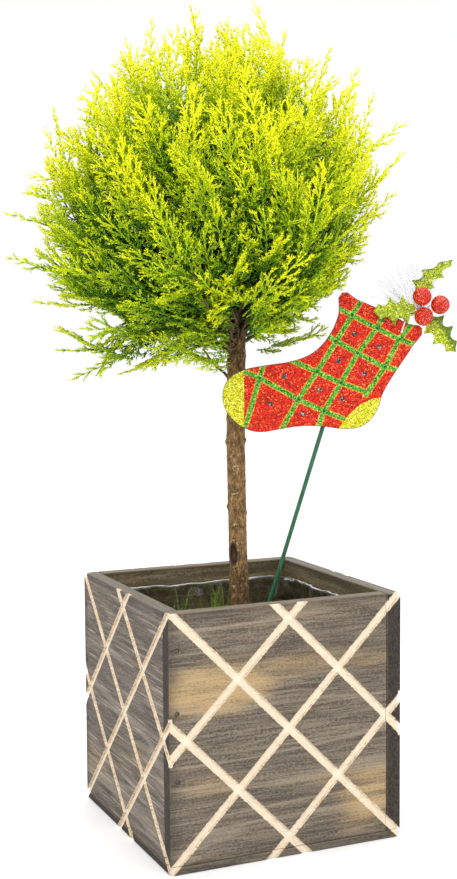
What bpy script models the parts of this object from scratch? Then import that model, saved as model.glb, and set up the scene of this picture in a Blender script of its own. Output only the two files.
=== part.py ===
"""Tabletop ball topiary in a square wooden planter, with a holiday stocking pick.

The planter is four boards nailed round a base board, with a diagonal lattice routed through
all four faces. A thin plastic liner stands in it and holds a ballast block, a foam block and
a bed of moss. The trunk stands in the ballast, and wired foliage sprays plug into sockets
drilled in its upper end. A flat stocking on a green stick is pushed into the foam.

Metres, +Z up. The origin is the centre of the planter's underside. The planter's front face
looks along -Y. The pick's board faces the front left corner.
"""

import math

import bmesh
import bpy
from mathutils import Matrix, Vector

# ---- Fits -----------------------------------------------------------------------------
GAP = 0.0003                    # between two pieces that touch on the real object
CUTTER_OVERRUN = 0.001          # how far a cutter reaches past the surface it opens
LINER_CLEARANCE = 0.0008        # between the liner and the planter's inside, all round

# ---- Planter --------------------------------------------------------------------------
PLANTER_WIDTH = 0.152
PLANTER_DEPTH = 0.152
PLANTER_HEIGHT = 0.152
BOARD = 0.0095                  # thickness of the four side boards
BASE_BOARD = 0.0045
EDGE_CHAMFER = 0.0005
GROOVE_WIDTH = 0.0045
GROOVE_DEPTH = 0.0015
SECOND_PASS_RISE = 0.0001       # the lines that cross them are this much shallower
GROOVE_SPACING = 0.0655         # between parallel grooves, measured straight up the face
GROOVES_EACH_WAY = 3
LATTICE_LIFT = 0.0015           # the lattice's middle, above the middle of the face

# ---- Nails ----------------------------------------------------------------------------
NAIL_LENGTH = 0.022
NAIL_POINT = 0.002                 # length of its tapered point
NAIL_SHANK_RADIUS = 0.0007
NAIL_HEAD_RADIUS = 0.0013
NAIL_HEAD_THICKNESS = 0.0008
NAIL_HEAD_SINK = 0.0004         # how far the head is punched below the wood
NAIL_HEIGHTS = (0.36, 0.62, 0.86)   # shares of the planter's height
BASE_NAIL_OFFSET = 0.031        # from the middle of each board, along it

# ---- Liner and what stands in it --------------------------------------------------------
FILM = 0.0005                   # wall of the liner
LINER_CORNER_RADIUS = 0.016
LINER_BELOW_RIM = 0.0105        # from the planter's rim down to the liner's
BALLAST_HEIGHT = 0.036
FOAM_HEIGHT = 0.070
MOSS_HEIGHT = 0.008

# ---- Trunk: (height above the underside, drift to the side, radius) -----------------------
TRUNK_FOOT_DEPTH = 0.018        # how deep the trunk stands in the ballast
TRUNK_SHAPE = (
    (0.140, 0.0024, 0.0061),
    (0.172, 0.0017, 0.0057),
    (0.242, 0.0006, 0.0058),
    (0.300, 0.0015, 0.0056),
    (0.345, 0.0030, 0.0051),
    (0.385, 0.0022, 0.0046),
    (0.425, 0.0004, 0.0040),
)

# ---- Foliage ----------------------------------------------------------------------------
HEAD_HEIGHT = 0.392             # centre of the ball above the underside
HEAD_RADIUS = 0.124
HEAD_LEAN = (-0.20, 0.0, -0.06)     # how much further the ball reaches each way, as a share
SPRAY_ROOT_LOW = 0.322          # lowest and highest sockets on the trunk
SPRAY_ROOT_HIGH = 0.412
SOCKET_DEPTH = 0.0022
STEM_RADIUS = 0.0010
SPRAY_RADIUS = 0.0240           # widest radius of one spray
SPRAY_TIP_RADIUS = 0.0030
SPRAY_STEM_SHARE = 0.20         # share of a spray's length that is bare stem
SPRAY_DROOP = 0.010             # how far a level spray bows upward at its middle
SPRAY_RINGS = (                 # (ring, elevation, bearings of its sprays), in degrees
    ("low", -46, (125, 188, 236)),
    ("skirt", -16, (18, 72, 124, 170, 218, 262)),
    ("waist", 22, (-8, 44, 96, 148, 197, 246, 296)),
    ("shoulder", 56, (12, 84, 156, 228, 300)),
    ("crown", 90, (0,)),
)

# ---- Pick: a board, a stick and a sprig of holly ------------------------------------------
VIEW_TURN = math.radians(-24)   # the board's sideways direction, from +X about +Z
PICK_LEAN = math.radians(17)    # the stick's lean from upright, in the board's plane
PICK_FORWARD = 0.030            # the board's plane stands this far in front of the trunk
SOLE_SIDE = 0.0532              # where the stick meets the sole, sideways from the trunk
SOLE_HEIGHT = 0.2508            # and above the underside
STICK_RADIUS = 0.0013
STICK_ABOVE_SOLE = 0.042        # length of stick glued behind the board
STICK_IN_FOAM = 0.040           # depth of its point below the top of the foam
STOCKING_THICKNESS = 0.0025
STOCKING_OUTLINE = (            # millimetres from where the stick meets the sole
    (-12.7, 83.0), (-3.0, 81.6), (8.0, 80.4), (20.0, 78.8), (31.0, 76.4), (39.8, 76.2),
    (37.6, 64.5), (32.8, 48.5), (28.6, 31.5), (28.4, 21.0), (23.5, 10.2), (14.5, 5.0),
    (0.0, 2.2), (-12.5, -1.2), (-25.5, -7.2), (-36.5, -12.2), (-45.0, -12.6), (-54.0, -9.6),
    (-61.0, -3.8), (-64.6, 5.0), (-63.2, 14.0), (-57.5, 20.4), (-46.5, 26.7), (-27.0, 36.4),
    (-18.0, 44.7), (-12.6, 56.4), (-11.0, 70.0),
)
BERRY_RADIUS = 0.0057
BERRY_CENTRE = (0.0384, 0.0897)     # middle of the three berries
BERRY_BEARINGS = (142, 22, -98)
LEAF_THICKNESS = 0.0006
LEAF_LOBES = 3                  # points down each side of a holly leaf
HOLLY_LEAVES = (                # (name, root x, root z, length, half width, bearing)
    ("holly_leaf_up", 0.0330, 0.0960, 0.0265, 0.0075, 60),
    ("holly_leaf_left", 0.0310, 0.0860, 0.0260, 0.0080, 196),
    ("holly_leaf_down", 0.0400, 0.0830, 0.0270, 0.0080, -34),
)
TINSEL_RADIUS = 0.026
TINSEL_NOTCH = 0.72             # length of its short points, as a share of the long ones
TINSEL_THICKNESS = 0.0005
TIE_WIRE_RADIUS = 0.0005
TIE_WIRE_SIDE = 0.0285          # its place across the cuff, from where the stick meets the sole
TIE_WIRE_FOOT = 0.0700          # height of its ends up the board
CUFF_TOP = 0.0772               # height of the cuff's edge where the wire passes over it

# ---- What follows from the sizes above ------------------------------------------------------
LINER_FLOOR = BASE_BOARD + GAP
BALLAST_FLOOR = LINER_FLOOR + FILM + GAP
FOAM_FLOOR = BALLAST_FLOOR + BALLAST_HEIGHT + GAP
FOAM_TOP = FOAM_FLOOR + FOAM_HEIGHT
MOSS_FLOOR = FOAM_TOP + GAP
TRUNK_FOOT = BALLAST_FLOOR + BALLAST_HEIGHT - TRUNK_FOOT_DEPTH
FILL_MARGIN = BOARD + LINER_CLEARANCE + FILM + GAP
FILL_CORNER_RADIUS = LINER_CORNER_RADIUS - FILM - GAP
SIDEWAYS = Vector((math.cos(VIEW_TURN), math.sin(VIEW_TURN), 0))
FORWARD = Vector((math.sin(VIEW_TURN), -math.cos(VIEW_TURN), 0))
UP = Vector((0, 0, 1))
FINE = 1e-5                     # merge distance, far under any edge of the model

# name: (colour, roughness, metallic)
FINISHES = {
    "weathered_wood": ((0.16, 0.13, 0.10), 0.75, 0.0),
    "nail_steel": ((0.35, 0.34, 0.32), 0.45, 1.0),
    "clear_film": ((0.70, 0.72, 0.72), 0.15, 0.0),
    "plaster": ((0.60, 0.58, 0.54), 0.90, 0.0),
    "foam": ((0.10, 0.16, 0.07), 0.95, 0.0),
    "moss": ((0.06, 0.10, 0.02), 1.00, 0.0),
    "bark": ((0.26, 0.14, 0.05), 0.85, 0.0),
    "foliage": ((0.45, 0.62, 0.02), 0.60, 0.0),
    "red_glitter": ((0.70, 0.03, 0.02), 0.40, 0.2),
    "gold_glitter": ((0.70, 0.65, 0.04), 0.40, 0.2),
    "green_lacquer": ((0.01, 0.20, 0.07), 0.35, 0.0),
    "tinsel": ((0.85, 0.87, 0.88), 0.25, 0.0),
}


# ---- Scene and materials ----------------------------------------------------------------
def clear_scene():
    for old in list(bpy.data.objects):
        bpy.data.objects.remove(old, do_unlink=True)


def new_collection(name):
    collection = bpy.data.collections.new(name)
    bpy.context.scene.collection.children.link(collection)
    return collection


def make_finish(name):
    colour, roughness, metallic = FINISHES[name]
    finish = bpy.data.materials.new(name)
    finish.use_nodes = True
    shader = finish.node_tree.nodes["Principled BSDF"]
    shader.inputs["Base Color"].default_value = (*colour, 1)
    shader.inputs["Roughness"].default_value = roughness
    shader.inputs["Metallic"].default_value = metallic
    finish.diffuse_color = (*colour, 1)
    return finish


clear_scene()
PARTS = new_collection("tabletop_tree")
CUTTERS = new_collection("cutters")
MATERIALS = {name: make_finish(name) for name in FINISHES}


def add_part(name, data, finish):
    part = bpy.data.objects.new(name, data)
    data.materials.append(MATERIALS[finish])
    PARTS.objects.link(part)
    return part


def new_cutter_group(name):
    group = bpy.data.collections.new(name)
    CUTTERS.children.link(group)
    return group


def add_cutter(name, data, group):
    cutter = bpy.data.objects.new(name, data)
    cutter.display_type = "WIRE"
    cutter.hide_render = True
    group.objects.link(cutter)
    return cutter


def cut(part, group):
    """Take every cutter in the group away from the part."""
    boolean = part.modifiers.new(group.name, "BOOLEAN")
    boolean.operation = "DIFFERENCE"
    boolean.operand_type = "COLLECTION"
    boolean.collection = group
    boolean.solver = "EXACT"


# ---- Shapes ---------------------------------------------------------------------------------
def mesh_from(bm, name):
    data = bpy.data.meshes.new(name)
    bm.to_mesh(data)
    bm.free()
    return data


def box_mesh(name, length, depth, height):
    """A box centred on its own origin."""
    bm = bmesh.new()
    bmesh.ops.create_cube(bm, size=1)
    bmesh.ops.scale(bm, vec=(length, depth, height), verts=bm.verts)
    return mesh_from(bm, name)


def pin_mesh(name, radius, length, sides=12):
    """A plain cylinder that runs from its origin along +Z."""
    bm = bmesh.new()
    bmesh.ops.create_cone(bm, cap_ends=True, segments=sides, radius1=radius, radius2=radius,
                          depth=length)
    bmesh.ops.translate(bm, vec=(0, 0, length / 2), verts=bm.verts)
    return mesh_from(bm, name)


def turned(name, profile, finish, steps):
    """Screw a profile of (radius, height) points, listed from top to bottom."""
    data = bpy.data.meshes.new(name)
    points = [(radius, 0, height) for radius, height in profile]
    edges = [(index, index + 1) for index in range(len(points) - 1)]
    data.from_pydata(points, edges, [])
    part = add_part(name, data, finish)
    screw = part.modifiers.new("turn", "SCREW")
    screw.steps = steps
    screw.render_steps = steps
    screw.use_merge_vertices = True
    screw.merge_threshold = FINE
    return part


def rounded_block_mesh(name, floor, height, margin, radius, open_top=False):
    """An upright block inside the planter, its four upright edges rounded."""
    bm = bmesh.new()
    bmesh.ops.create_cube(bm, size=1)
    size = (PLANTER_WIDTH - 2 * margin, PLANTER_DEPTH - 2 * margin, height)
    bmesh.ops.scale(bm, vec=size, verts=bm.verts)
    bmesh.ops.translate(bm, vec=(0, 0, floor + height / 2), verts=bm.verts)
    if open_top:
        lid = [face for face in bm.faces if face.normal.z > 0.5]
        bmesh.ops.delete(bm, geom=lid, context="FACES_ONLY")
    upright = [edge for edge in bm.edges
               if abs(edge.verts[0].co.z - edge.verts[1].co.z) > height / 2]
    bmesh.ops.bevel(bm, geom=upright, offset=radius, segments=4, profile=0.5,
                    affect="EDGES")
    return mesh_from(bm, name)


def tube_curve(name, points, radii, resolution):
    """A round bar through the points, with its own radius at each of them."""
    data = bpy.data.curves.new(name, "CURVE")
    data.dimensions = "3D"
    data.bevel_depth = 0.001
    data.bevel_resolution = resolution
    data.use_fill_caps = True
    spline = data.splines.new("POLY")
    spline.points.add(len(points) - 1)
    for knot, point, radius in zip(spline.points, points, radii):
        knot.co = (*point, 1)
        knot.radius = radius / data.bevel_depth
    return data


def mesh_of_curve(name, curve):
    """The closed mesh of a capped curve, for cutting or being cut."""
    guide = bpy.data.objects.new(name, curve)
    CUTTERS.objects.link(guide)
    evaluated = guide.evaluated_get(bpy.context.evaluated_depsgraph_get())
    data = bpy.data.meshes.new_from_object(evaluated)
    bpy.data.objects.remove(guide)
    bm = bmesh.new()
    bm.from_mesh(data)
    bmesh.ops.remove_doubles(bm, verts=bm.verts, dist=FINE)
    bmesh.ops.recalc_face_normals(bm, faces=bm.faces)
    bm.to_mesh(data)
    bm.free()
    return data


def flat_curve(name, outline, thickness, smooth):
    """A flat plate in its own XY plane. The outline is smoothed or kept as corners."""
    data = bpy.data.curves.new(name, "CURVE")
    data.dimensions = "2D"
    data.fill_mode = "BOTH"
    data.extrude = thickness / 2
    data.resolution_u = 3
    spline = data.splines.new("BEZIER" if smooth else "POLY")
    spline.use_cyclic_u = True
    if smooth:
        spline.bezier_points.add(len(outline) - 1)
        for knot, point in zip(spline.bezier_points, outline):
            knot.co = (*point, 0)
            knot.handle_left_type = "AUTO"
            knot.handle_right_type = "AUTO"
        return data
    spline.points.add(len(outline) - 1)
    for knot, point in zip(spline.points, outline):
        knot.co = (*point, 0, 1)
    return data


def along(direction):
    """The rotation that turns +Z to the direction."""
    return Vector(direction).to_track_quat("Z", "Y").to_matrix().to_4x4()


# ---- Planter --------------------------------------------------------------------------------
def face_sizes(face):
    """Half the distance across the planter to this face, and half the face's own width."""
    if face % 2 == 0:
        return PLANTER_DEPTH / 2, PLANTER_WIDTH / 2
    return PLANTER_WIDTH / 2, PLANTER_DEPTH / 2


def face_frame(face):
    """Turns the front face's own frame to face 0 front, 1 right, 2 back or 3 left."""
    return Matrix.Rotation(face * math.pi / 2, 4, "Z")


def make_groove_cutters():
    """One group of routed lines for each face: parallel runs both ways at 45 degrees."""
    groups = []
    for face in range(4):
        group = new_cutter_group(f"grooves_{face}")
        across, half_width = face_sizes(face)
        run = 2 * math.hypot(2 * half_width, PLANTER_HEIGHT)
        first = -(GROOVES_EACH_WAY - 1) / 2
        for slope in (-45, 45):
            for index in range(GROOVES_EACH_WAY):
                rise = PLANTER_HEIGHT / 2 + LATTICE_LIFT + (first + index) * GROOVE_SPACING
                depth = GROOVE_DEPTH if slope < 0 else GROOVE_DEPTH - SECOND_PASS_RISE
                bar = box_mesh("groove", run, 2 * depth, GROOVE_WIDTH)
                cutter = add_cutter(f"groove_{face}_{slope}_{index}", bar, group)
                place = Matrix.Translation((0, -across, rise))
                tilt = Matrix.Rotation(math.radians(slope), 4, "Y")
                cutter.matrix_world = face_frame(face) @ place @ tilt
        groups.append(group)
    return groups


def nail_places():
    """(name, matrix) of every nail. Each nail runs from its head along its own +Z."""
    places = []
    for face, side in enumerate(("front_left", "front_right", "back_right", "back_left")):
        across, half_width = face_sizes(face)
        for index, share in enumerate(NAIL_HEIGHTS):
            head = Vector((-half_width + BOARD / 2, -across, share * PLANTER_HEIGHT))
            place = face_frame(face) @ Matrix.Translation(head) @ along((0, 1, 0))
            places.append((f"nail_{side}_{index + 1}", place))
        foot = Vector((BASE_NAIL_OFFSET, -across + BOARD / 2, 0))
        place = face_frame(face) @ Matrix.Translation(foot)
        places.append((f"base_nail_{('front', 'right', 'back', 'left')[face]}", place))
    return places


def make_nails():
    """Each nail, and the holes for it in a group that every board shares."""
    holes = new_cutter_group("nail_holes")
    sink = NAIL_HEAD_SINK
    under_head = sink + NAIL_HEAD_THICKNESS
    for name, place in nail_places():
        profile = ((0, NAIL_LENGTH + sink), (NAIL_SHANK_RADIUS * 0.4, NAIL_LENGTH + sink),
                   (NAIL_SHANK_RADIUS, NAIL_LENGTH + sink - NAIL_POINT),
                   (NAIL_SHANK_RADIUS, under_head), (NAIL_HEAD_RADIUS, under_head),
                   (NAIL_HEAD_RADIUS, sink), (0, sink))
        nail = turned(name, profile, "nail_steel", 10)
        nail.matrix_world = place
        shank_depth = NAIL_LENGTH + sink + GAP + CUTTER_OVERRUN
        shank = pin_mesh("shank_hole", NAIL_SHANK_RADIUS + GAP, shank_depth, 10)
        shank_hole = add_cutter(f"{name}_shank_hole", shank, holes)
        shank_hole.matrix_world = place @ Matrix.Translation((0, 0, -CUTTER_OVERRUN))
        head_depth = under_head + GAP + CUTTER_OVERRUN
        head = pin_mesh("head_hole", NAIL_HEAD_RADIUS + GAP, head_depth, 10)
        head_hole = add_cutter(f"{name}_head_hole", head, holes)
        head_hole.matrix_world = place @ Matrix.Translation((0, 0, -CUTTER_OVERRUN))
    return holes


def soften_edges(part):
    bevel = part.modifiers.new("worn_edges", "BEVEL")
    bevel.width = EDGE_CHAMFER
    bevel.segments = 1
    bevel.limit_method = "ANGLE"


def make_side_boards(grooves, holes):
    """Each board covers the end of the board before it, so the four chase each other round."""
    height = PLANTER_HEIGHT - BASE_BOARD - GAP
    for face, name in enumerate(("front_board", "right_board", "back_board", "left_board")):
        across, half_width = face_sizes(face)
        length = 2 * half_width - BOARD - GAP
        board = add_part(name, box_mesh(name, length, BOARD, height), "weathered_wood")
        centre = Vector((-(BOARD + GAP) / 2, -across + BOARD / 2,
                         PLANTER_HEIGHT - height / 2))
        board.matrix_world = face_frame(face) @ Matrix.Translation(centre)
        soften_edges(board)
        cut(board, grooves[face])
        cut(board, grooves[face - 1])
        cut(board, holes)


def make_base_board(grooves, holes):
    data = box_mesh("base_board", PLANTER_WIDTH, PLANTER_DEPTH, BASE_BOARD)
    base = add_part("base_board", data, "weathered_wood")
    base.location = (0, 0, BASE_BOARD / 2)
    soften_edges(base)
    for group in grooves:
        cut(base, group)
    cut(base, holes)


# ---- Liner, ballast, foam and moss ------------------------------------------------------------
def make_liner():
    """A thin open tub with rounded corners, a finger's width below the planter's rim."""
    height = PLANTER_HEIGHT - LINER_BELOW_RIM - LINER_FLOOR
    data = rounded_block_mesh("plastic_liner", LINER_FLOOR, height, BOARD + LINER_CLEARANCE,
                              LINER_CORNER_RADIUS, open_top=True)
    liner = add_part("plastic_liner", data, "clear_film")
    wall = liner.modifiers.new("wall", "SOLIDIFY")
    wall.thickness = FILM
    wall.offset = -1
    wall.use_even_offset = True


def make_fill(trunk_hole, stick_hole):
    layers = (
        ("ballast_block", BALLAST_FLOOR, BALLAST_HEIGHT, "plaster"),
        ("foam_block", FOAM_FLOOR, FOAM_HEIGHT, "foam"),
        ("moss_bed", MOSS_FLOOR, MOSS_HEIGHT, "moss"),
    )
    for name, floor, height, finish in layers:
        data = rounded_block_mesh(name, floor, height, FILL_MARGIN, FILL_CORNER_RADIUS)
        layer = add_part(name, data, finish)
        cut(layer, trunk_hole)
        if name != "ballast_block":
            cut(layer, stick_hole)


# ---- Trunk --------------------------------------------------------------------------------------
def trunk_knots():
    """The foot stands straight below the lowest knot that shows."""
    foot_height, foot_drift, foot_radius = TRUNK_SHAPE[0]
    return ((TRUNK_FOOT, foot_drift, foot_radius),) + TRUNK_SHAPE


def trunk_at(height):
    """Axis point and radius of the trunk at a height."""
    knots = trunk_knots()
    for (low, drift_low, radius_low), (high, drift_high, radius_high) in zip(knots, knots[1:]):
        if height <= high:
            share = (height - low) / (high - low)
            drift = drift_low + share * (drift_high - drift_low)
            radius = radius_low + share * (radius_high - radius_low)
            return SIDEWAYS * drift + UP * height, radius
    top_height, top_drift, top_radius = knots[-1]
    return SIDEWAYS * top_drift + UP * top_height, top_radius


def trunk_curve(name, extra):
    """The trunk's bar, or a clearance round it that also reaches lower by the same amount."""
    knots = trunk_knots()
    points = [SIDEWAYS * drift + UP * height for height, drift, _ in knots]
    points[0] -= UP * extra
    radii = [radius + extra for _, _, radius in knots]
    return tube_curve(name, points, radii, 3)


def make_trunk(sockets):
    trunk = add_part("trunk", mesh_of_curve("trunk", trunk_curve("trunk", 0)), "bark")
    cut(trunk, sockets)


def make_trunk_hole():
    group = new_cutter_group("trunk_hole")
    add_cutter("trunk_hole", mesh_of_curve("trunk_hole", trunk_curve("trunk_hole", GAP)), group)
    return group


# ---- Foliage ----------------------------------------------------------------------------------
def head_reach(direction):
    """How far the ball reaches from its centre in a direction. It leans one way."""
    side, depth, rise = HEAD_LEAN
    lean = SIDEWAYS * side - FORWARD * depth + UP * rise
    return HEAD_RADIUS * (1 + direction.dot(lean))


def level_direction(bearing):
    """Bearings turn from the board's sideways direction towards the back."""
    return SIDEWAYS * math.cos(bearing) - FORWARD * math.sin(bearing)


def spray_root(elevation, bearing):
    """Where a spray's stem meets the trunk: up its side, or on top for an upright spray."""
    upright_spray = elevation > math.radians(80)
    if upright_spray:
        return trunk_at(TRUNK_SHAPE[-1][0])[0]
    low = math.radians(SPRAY_RINGS[0][1])
    high = math.radians(SPRAY_RINGS[-1][1])
    climb = (elevation - low) / (high - low)
    axis, radius = trunk_at(SPRAY_ROOT_LOW + climb * (SPRAY_ROOT_HIGH - SPRAY_ROOT_LOW))
    return axis + level_direction(bearing) * radius


def spray_width(share):
    """Radius of a spray along its length: a bare stem, a full middle and a blunt tip."""
    if share <= SPRAY_STEM_SHARE:
        return STEM_RADIUS
    full = (share - SPRAY_STEM_SHARE) / (1 - SPRAY_STEM_SHARE)
    bulge = math.sin(math.pi * full ** 1.6) ** 0.75 if full < 1 else 0
    return STEM_RADIUS + (SPRAY_RADIUS - STEM_RADIUS) * bulge + SPRAY_TIP_RADIUS * full ** 4


def make_spray(name, elevation, bearing, sockets):
    """One wired spray, and the socket for its stem in the trunk."""
    direction = level_direction(bearing) * math.cos(elevation) + UP * math.sin(elevation)
    tip = UP * HEAD_HEIGHT + direction * head_reach(direction)
    mouth = spray_root(elevation, bearing)
    outward = (tip - mouth).normalized()
    root = mouth - outward * SOCKET_DEPTH
    bow = UP * SPRAY_DROOP * math.cos(elevation)
    steps = 11
    shares = [0, 0.06] + [0.12 + 0.88 * index / steps for index in range(steps + 1)]
    points = [root.lerp(tip, share) + bow * math.sin(math.pi * max(share - 0.1, 0))
              for share in shares]
    radii = [spray_width(share) for share in shares]
    add_part(name, tube_curve(name, points, radii, 1), "foliage")
    bore = pin_mesh("socket", STEM_RADIUS + GAP, SOCKET_DEPTH + GAP + 0.004, 8)
    socket = add_cutter(f"{name}_socket", bore, sockets)
    socket.matrix_world = Matrix.Translation(root - outward * GAP) @ along(outward)


def make_sprays():
    sockets = new_cutter_group("spray_sockets")
    for ring, elevation, bearings in SPRAY_RINGS:
        for index, bearing in enumerate(bearings):
            make_spray(f"spray_{ring}_{index + 1}", math.radians(elevation),
                       math.radians(bearing), sockets)
    return sockets


# ---- Pick ----------------------------------------------------------------------------------------
def pick_frame():
    """X runs sideways across the board, Y points behind it and Z runs up the stick."""
    sole = SIDEWAYS * SOLE_SIDE + FORWARD * PICK_FORWARD + UP * SOLE_HEIGHT
    turn = Matrix.Rotation(VIEW_TURN, 4, "Z")
    lean = Matrix.Rotation(PICK_LEAN, 4, "Y")
    return Matrix.Translation(sole) @ turn @ lean


def upright(depth):
    """Stands a flat plate up in the pick's frame, this far behind the board's middle."""
    return Matrix.Translation((0, depth, 0)) @ Matrix.Rotation(math.pi / 2, 4, "X")


def stick_bottom():
    """How far the stick's point lies below the sole, measured along the stick."""
    return (SOLE_HEIGHT - FOAM_TOP + STICK_IN_FOAM) / math.cos(PICK_LEAN)


def stick_depth():
    return STOCKING_THICKNESS / 2 + GAP + STICK_RADIUS


def make_stick(frame):
    length = stick_bottom() + STICK_ABOVE_SOLE
    stick = add_part("pick_stick", pin_mesh("pick_stick", STICK_RADIUS, length), "green_lacquer")
    stick.matrix_world = frame @ Matrix.Translation((0, stick_depth(), -stick_bottom()))


def make_stick_hole(frame):
    group = new_cutter_group("stick_hole")
    above_moss = MOSS_HEIGHT * 3
    length = (STICK_IN_FOAM + above_moss) / math.cos(PICK_LEAN) + GAP
    bore = add_cutter("stick_hole", pin_mesh("stick_hole", STICK_RADIUS + GAP, length), group)
    place = Matrix.Translation((0, stick_depth(), -stick_bottom() - GAP))
    bore.matrix_world = frame @ place
    return group


def make_stocking(frame):
    outline = [(x / 1000, z / 1000) for x, z in STOCKING_OUTLINE]
    data = flat_curve("stocking_board", outline, STOCKING_THICKNESS, smooth=True)
    stocking = add_part("stocking_board", data, "red_glitter")
    stocking.matrix_world = frame @ upright(0)


def holly_outline(length, half_width):
    """A leaf along +X from its root: pointed lobes with hollows between them."""
    side = []
    for lobe in range(LEAF_LOBES):
        share = (lobe + 0.7) / (LEAF_LOBES + 0.4)
        hollow = (lobe + 1.25) / (LEAF_LOBES + 0.4)
        width = half_width * math.sin(math.pi * (0.18 + 0.66 * share))
        side.append((share * length, width))
        side.append((hollow * length, width * 0.45))
    under = [(x, -y) for x, y in reversed(side)]
    return [(0, 0.0012)] + side + [(length, 0)] + under + [(0, -0.0012)]


def make_holly(frame):
    """Three leaves in layers in front of the board, with three berries before them."""
    front = -STOCKING_THICKNESS / 2
    for layer, (name, root_x, root_z, length, half_width, bearing) in enumerate(HOLLY_LEAVES):
        depth = front - (layer + 1) * (GAP + LEAF_THICKNESS) + LEAF_THICKNESS / 2
        data = flat_curve(name, holly_outline(length, half_width), LEAF_THICKNESS, smooth=False)
        leaf = add_part(name, data, "gold_glitter")
        turn = Matrix.Rotation(math.radians(bearing), 4, "Z")
        root = Matrix.Translation((root_x, root_z, 0))
        leaf.matrix_world = frame @ upright(depth) @ root @ turn
    berry_depth = front - len(HOLLY_LEAVES) * (GAP + LEAF_THICKNESS) - GAP - BERRY_RADIUS
    spread = 2 * (BERRY_RADIUS + GAP) / math.sqrt(3)
    for index, bearing in enumerate(BERRY_BEARINGS):
        bm = bmesh.new()
        bmesh.ops.create_uvsphere(bm, u_segments=16, v_segments=10, radius=BERRY_RADIUS)
        berry = add_part(f"berry_{index + 1}", mesh_from(bm, "berry"), "red_glitter")
        angle = math.radians(bearing)
        centre = Vector((BERRY_CENTRE[0] + spread * math.cos(angle), berry_depth,
                         BERRY_CENTRE[1] + spread * math.sin(angle)))
        berry.matrix_world = frame @ Matrix.Translation(centre)


def make_tinsel(frame):
    """The fan of fine fibres behind the holly, as one thin plate."""
    start, sweep, steps = math.radians(20), math.radians(150), 14
    centre = Vector(BERRY_CENTRE)
    outline = [tuple(centre)]
    for step in range(steps + 1):
        angle = start + sweep * step / steps
        reach = TINSEL_RADIUS * (1 if step % 2 else TINSEL_NOTCH)
        outline.append((centre.x + reach * math.cos(angle), centre.y + reach * math.sin(angle)))
    data = flat_curve("tinsel_fan", outline, TINSEL_THICKNESS, smooth=False)
    fan = add_part("tinsel_fan", data, "tinsel")
    depth = STOCKING_THICKNESS / 2 + GAP + TINSEL_THICKNESS / 2
    fan.matrix_world = frame @ upright(depth)


def make_tie_wire(frame):
    """A loop of wire over the board's cuff that ties the sprig on."""
    front = -STOCKING_THICKNESS / 2 - GAP - TIE_WIRE_RADIUS
    back = STOCKING_THICKNESS / 2 + GAP + TIE_WIRE_RADIUS
    top = CUFF_TOP + GAP + TIE_WIRE_RADIUS
    middle = (TIE_WIRE_FOOT + top) / 2
    points = [Vector((TIE_WIRE_SIDE, front, TIE_WIRE_FOOT)), Vector((TIE_WIRE_SIDE, front, middle)),
              Vector((TIE_WIRE_SIDE, front, top)), Vector((TIE_WIRE_SIDE, back, top)),
              Vector((TIE_WIRE_SIDE, back, TIE_WIRE_FOOT))]
    data = tube_curve("tie_wire", points, [TIE_WIRE_RADIUS] * len(points), 1)
    wire = add_part("tie_wire", data, "tinsel")
    wire.matrix_world = frame


# ---- Assembly -----------------------------------------------------------------------------------
def build():
    grooves = make_groove_cutters()
    holes = make_nails()
    make_side_boards(grooves, holes)
    make_base_board(grooves, holes)
    frame = pick_frame()
    make_liner()
    make_fill(make_trunk_hole(), make_stick_hole(frame))
    make_trunk(make_sprays())
    make_stick(frame)
    make_stocking(frame)
    make_holly(frame)
    make_tinsel(frame)
    make_tie_wire(frame)


build()
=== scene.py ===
"""Tabletop tree: a ball-headed tree in a scored wooden planter, with a stocking pick beside it."""

import math

import bmesh
import bpy
import numpy as np
from bpy.props import (
    FloatProperty,
    FloatVectorProperty,
    IntProperty,
    PointerProperty,
)
from mathutils import Matrix, Vector, noise


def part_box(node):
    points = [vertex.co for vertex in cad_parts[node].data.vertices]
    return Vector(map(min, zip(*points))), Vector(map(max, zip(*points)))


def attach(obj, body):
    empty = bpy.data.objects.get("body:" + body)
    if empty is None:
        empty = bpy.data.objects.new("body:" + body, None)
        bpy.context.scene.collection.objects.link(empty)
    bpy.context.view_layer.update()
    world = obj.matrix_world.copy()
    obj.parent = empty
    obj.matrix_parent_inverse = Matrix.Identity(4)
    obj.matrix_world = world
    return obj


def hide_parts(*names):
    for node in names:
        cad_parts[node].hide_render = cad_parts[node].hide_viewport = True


bl_info = {
    "name": "Tabletop Tree",
    "version": (1, 0, 0),
    "blender": (4, 5, 0),
    "location": "3D View > Sidebar > Tabletop Tree",
    "description": "Builds the foliage, bark, film, wood and glitter finishes of a tabletop tree",
    "category": "Object",
}

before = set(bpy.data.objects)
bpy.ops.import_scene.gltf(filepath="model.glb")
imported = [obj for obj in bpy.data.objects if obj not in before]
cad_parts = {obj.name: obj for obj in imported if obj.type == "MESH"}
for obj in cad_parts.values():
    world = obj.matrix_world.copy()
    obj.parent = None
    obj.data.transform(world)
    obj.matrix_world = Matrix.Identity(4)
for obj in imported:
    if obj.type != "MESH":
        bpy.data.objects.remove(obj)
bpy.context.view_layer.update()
MM = 0.001

# The tree's own directions: sideways is to the right of someone facing the tree, back is away from them.
VIEW_TURN = math.radians(-24)
TURN = Matrix.Rotation(VIEW_TURN, 4, "Z")
TURN3 = np.array(TURN.to_3x3())

# The pick's directions, from where the stick meets the sole: x across the board, y behind it, z up.
PICK = (
    TURN
    @ Matrix.Translation((0.0532, -0.030, 0.2508))
    @ Matrix.Rotation(math.radians(17), 4, "Y")
)
PICK_BACK = PICK.inverted()


# --- meshes ---------------------------------------------------------------------------------------


def low(node):
    """The lowest corner of a CAD node's box."""
    return Vector(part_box(node)[0])


def high(node):
    """The highest corner of a CAD node's box."""
    return Vector(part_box(node)[1])


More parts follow.
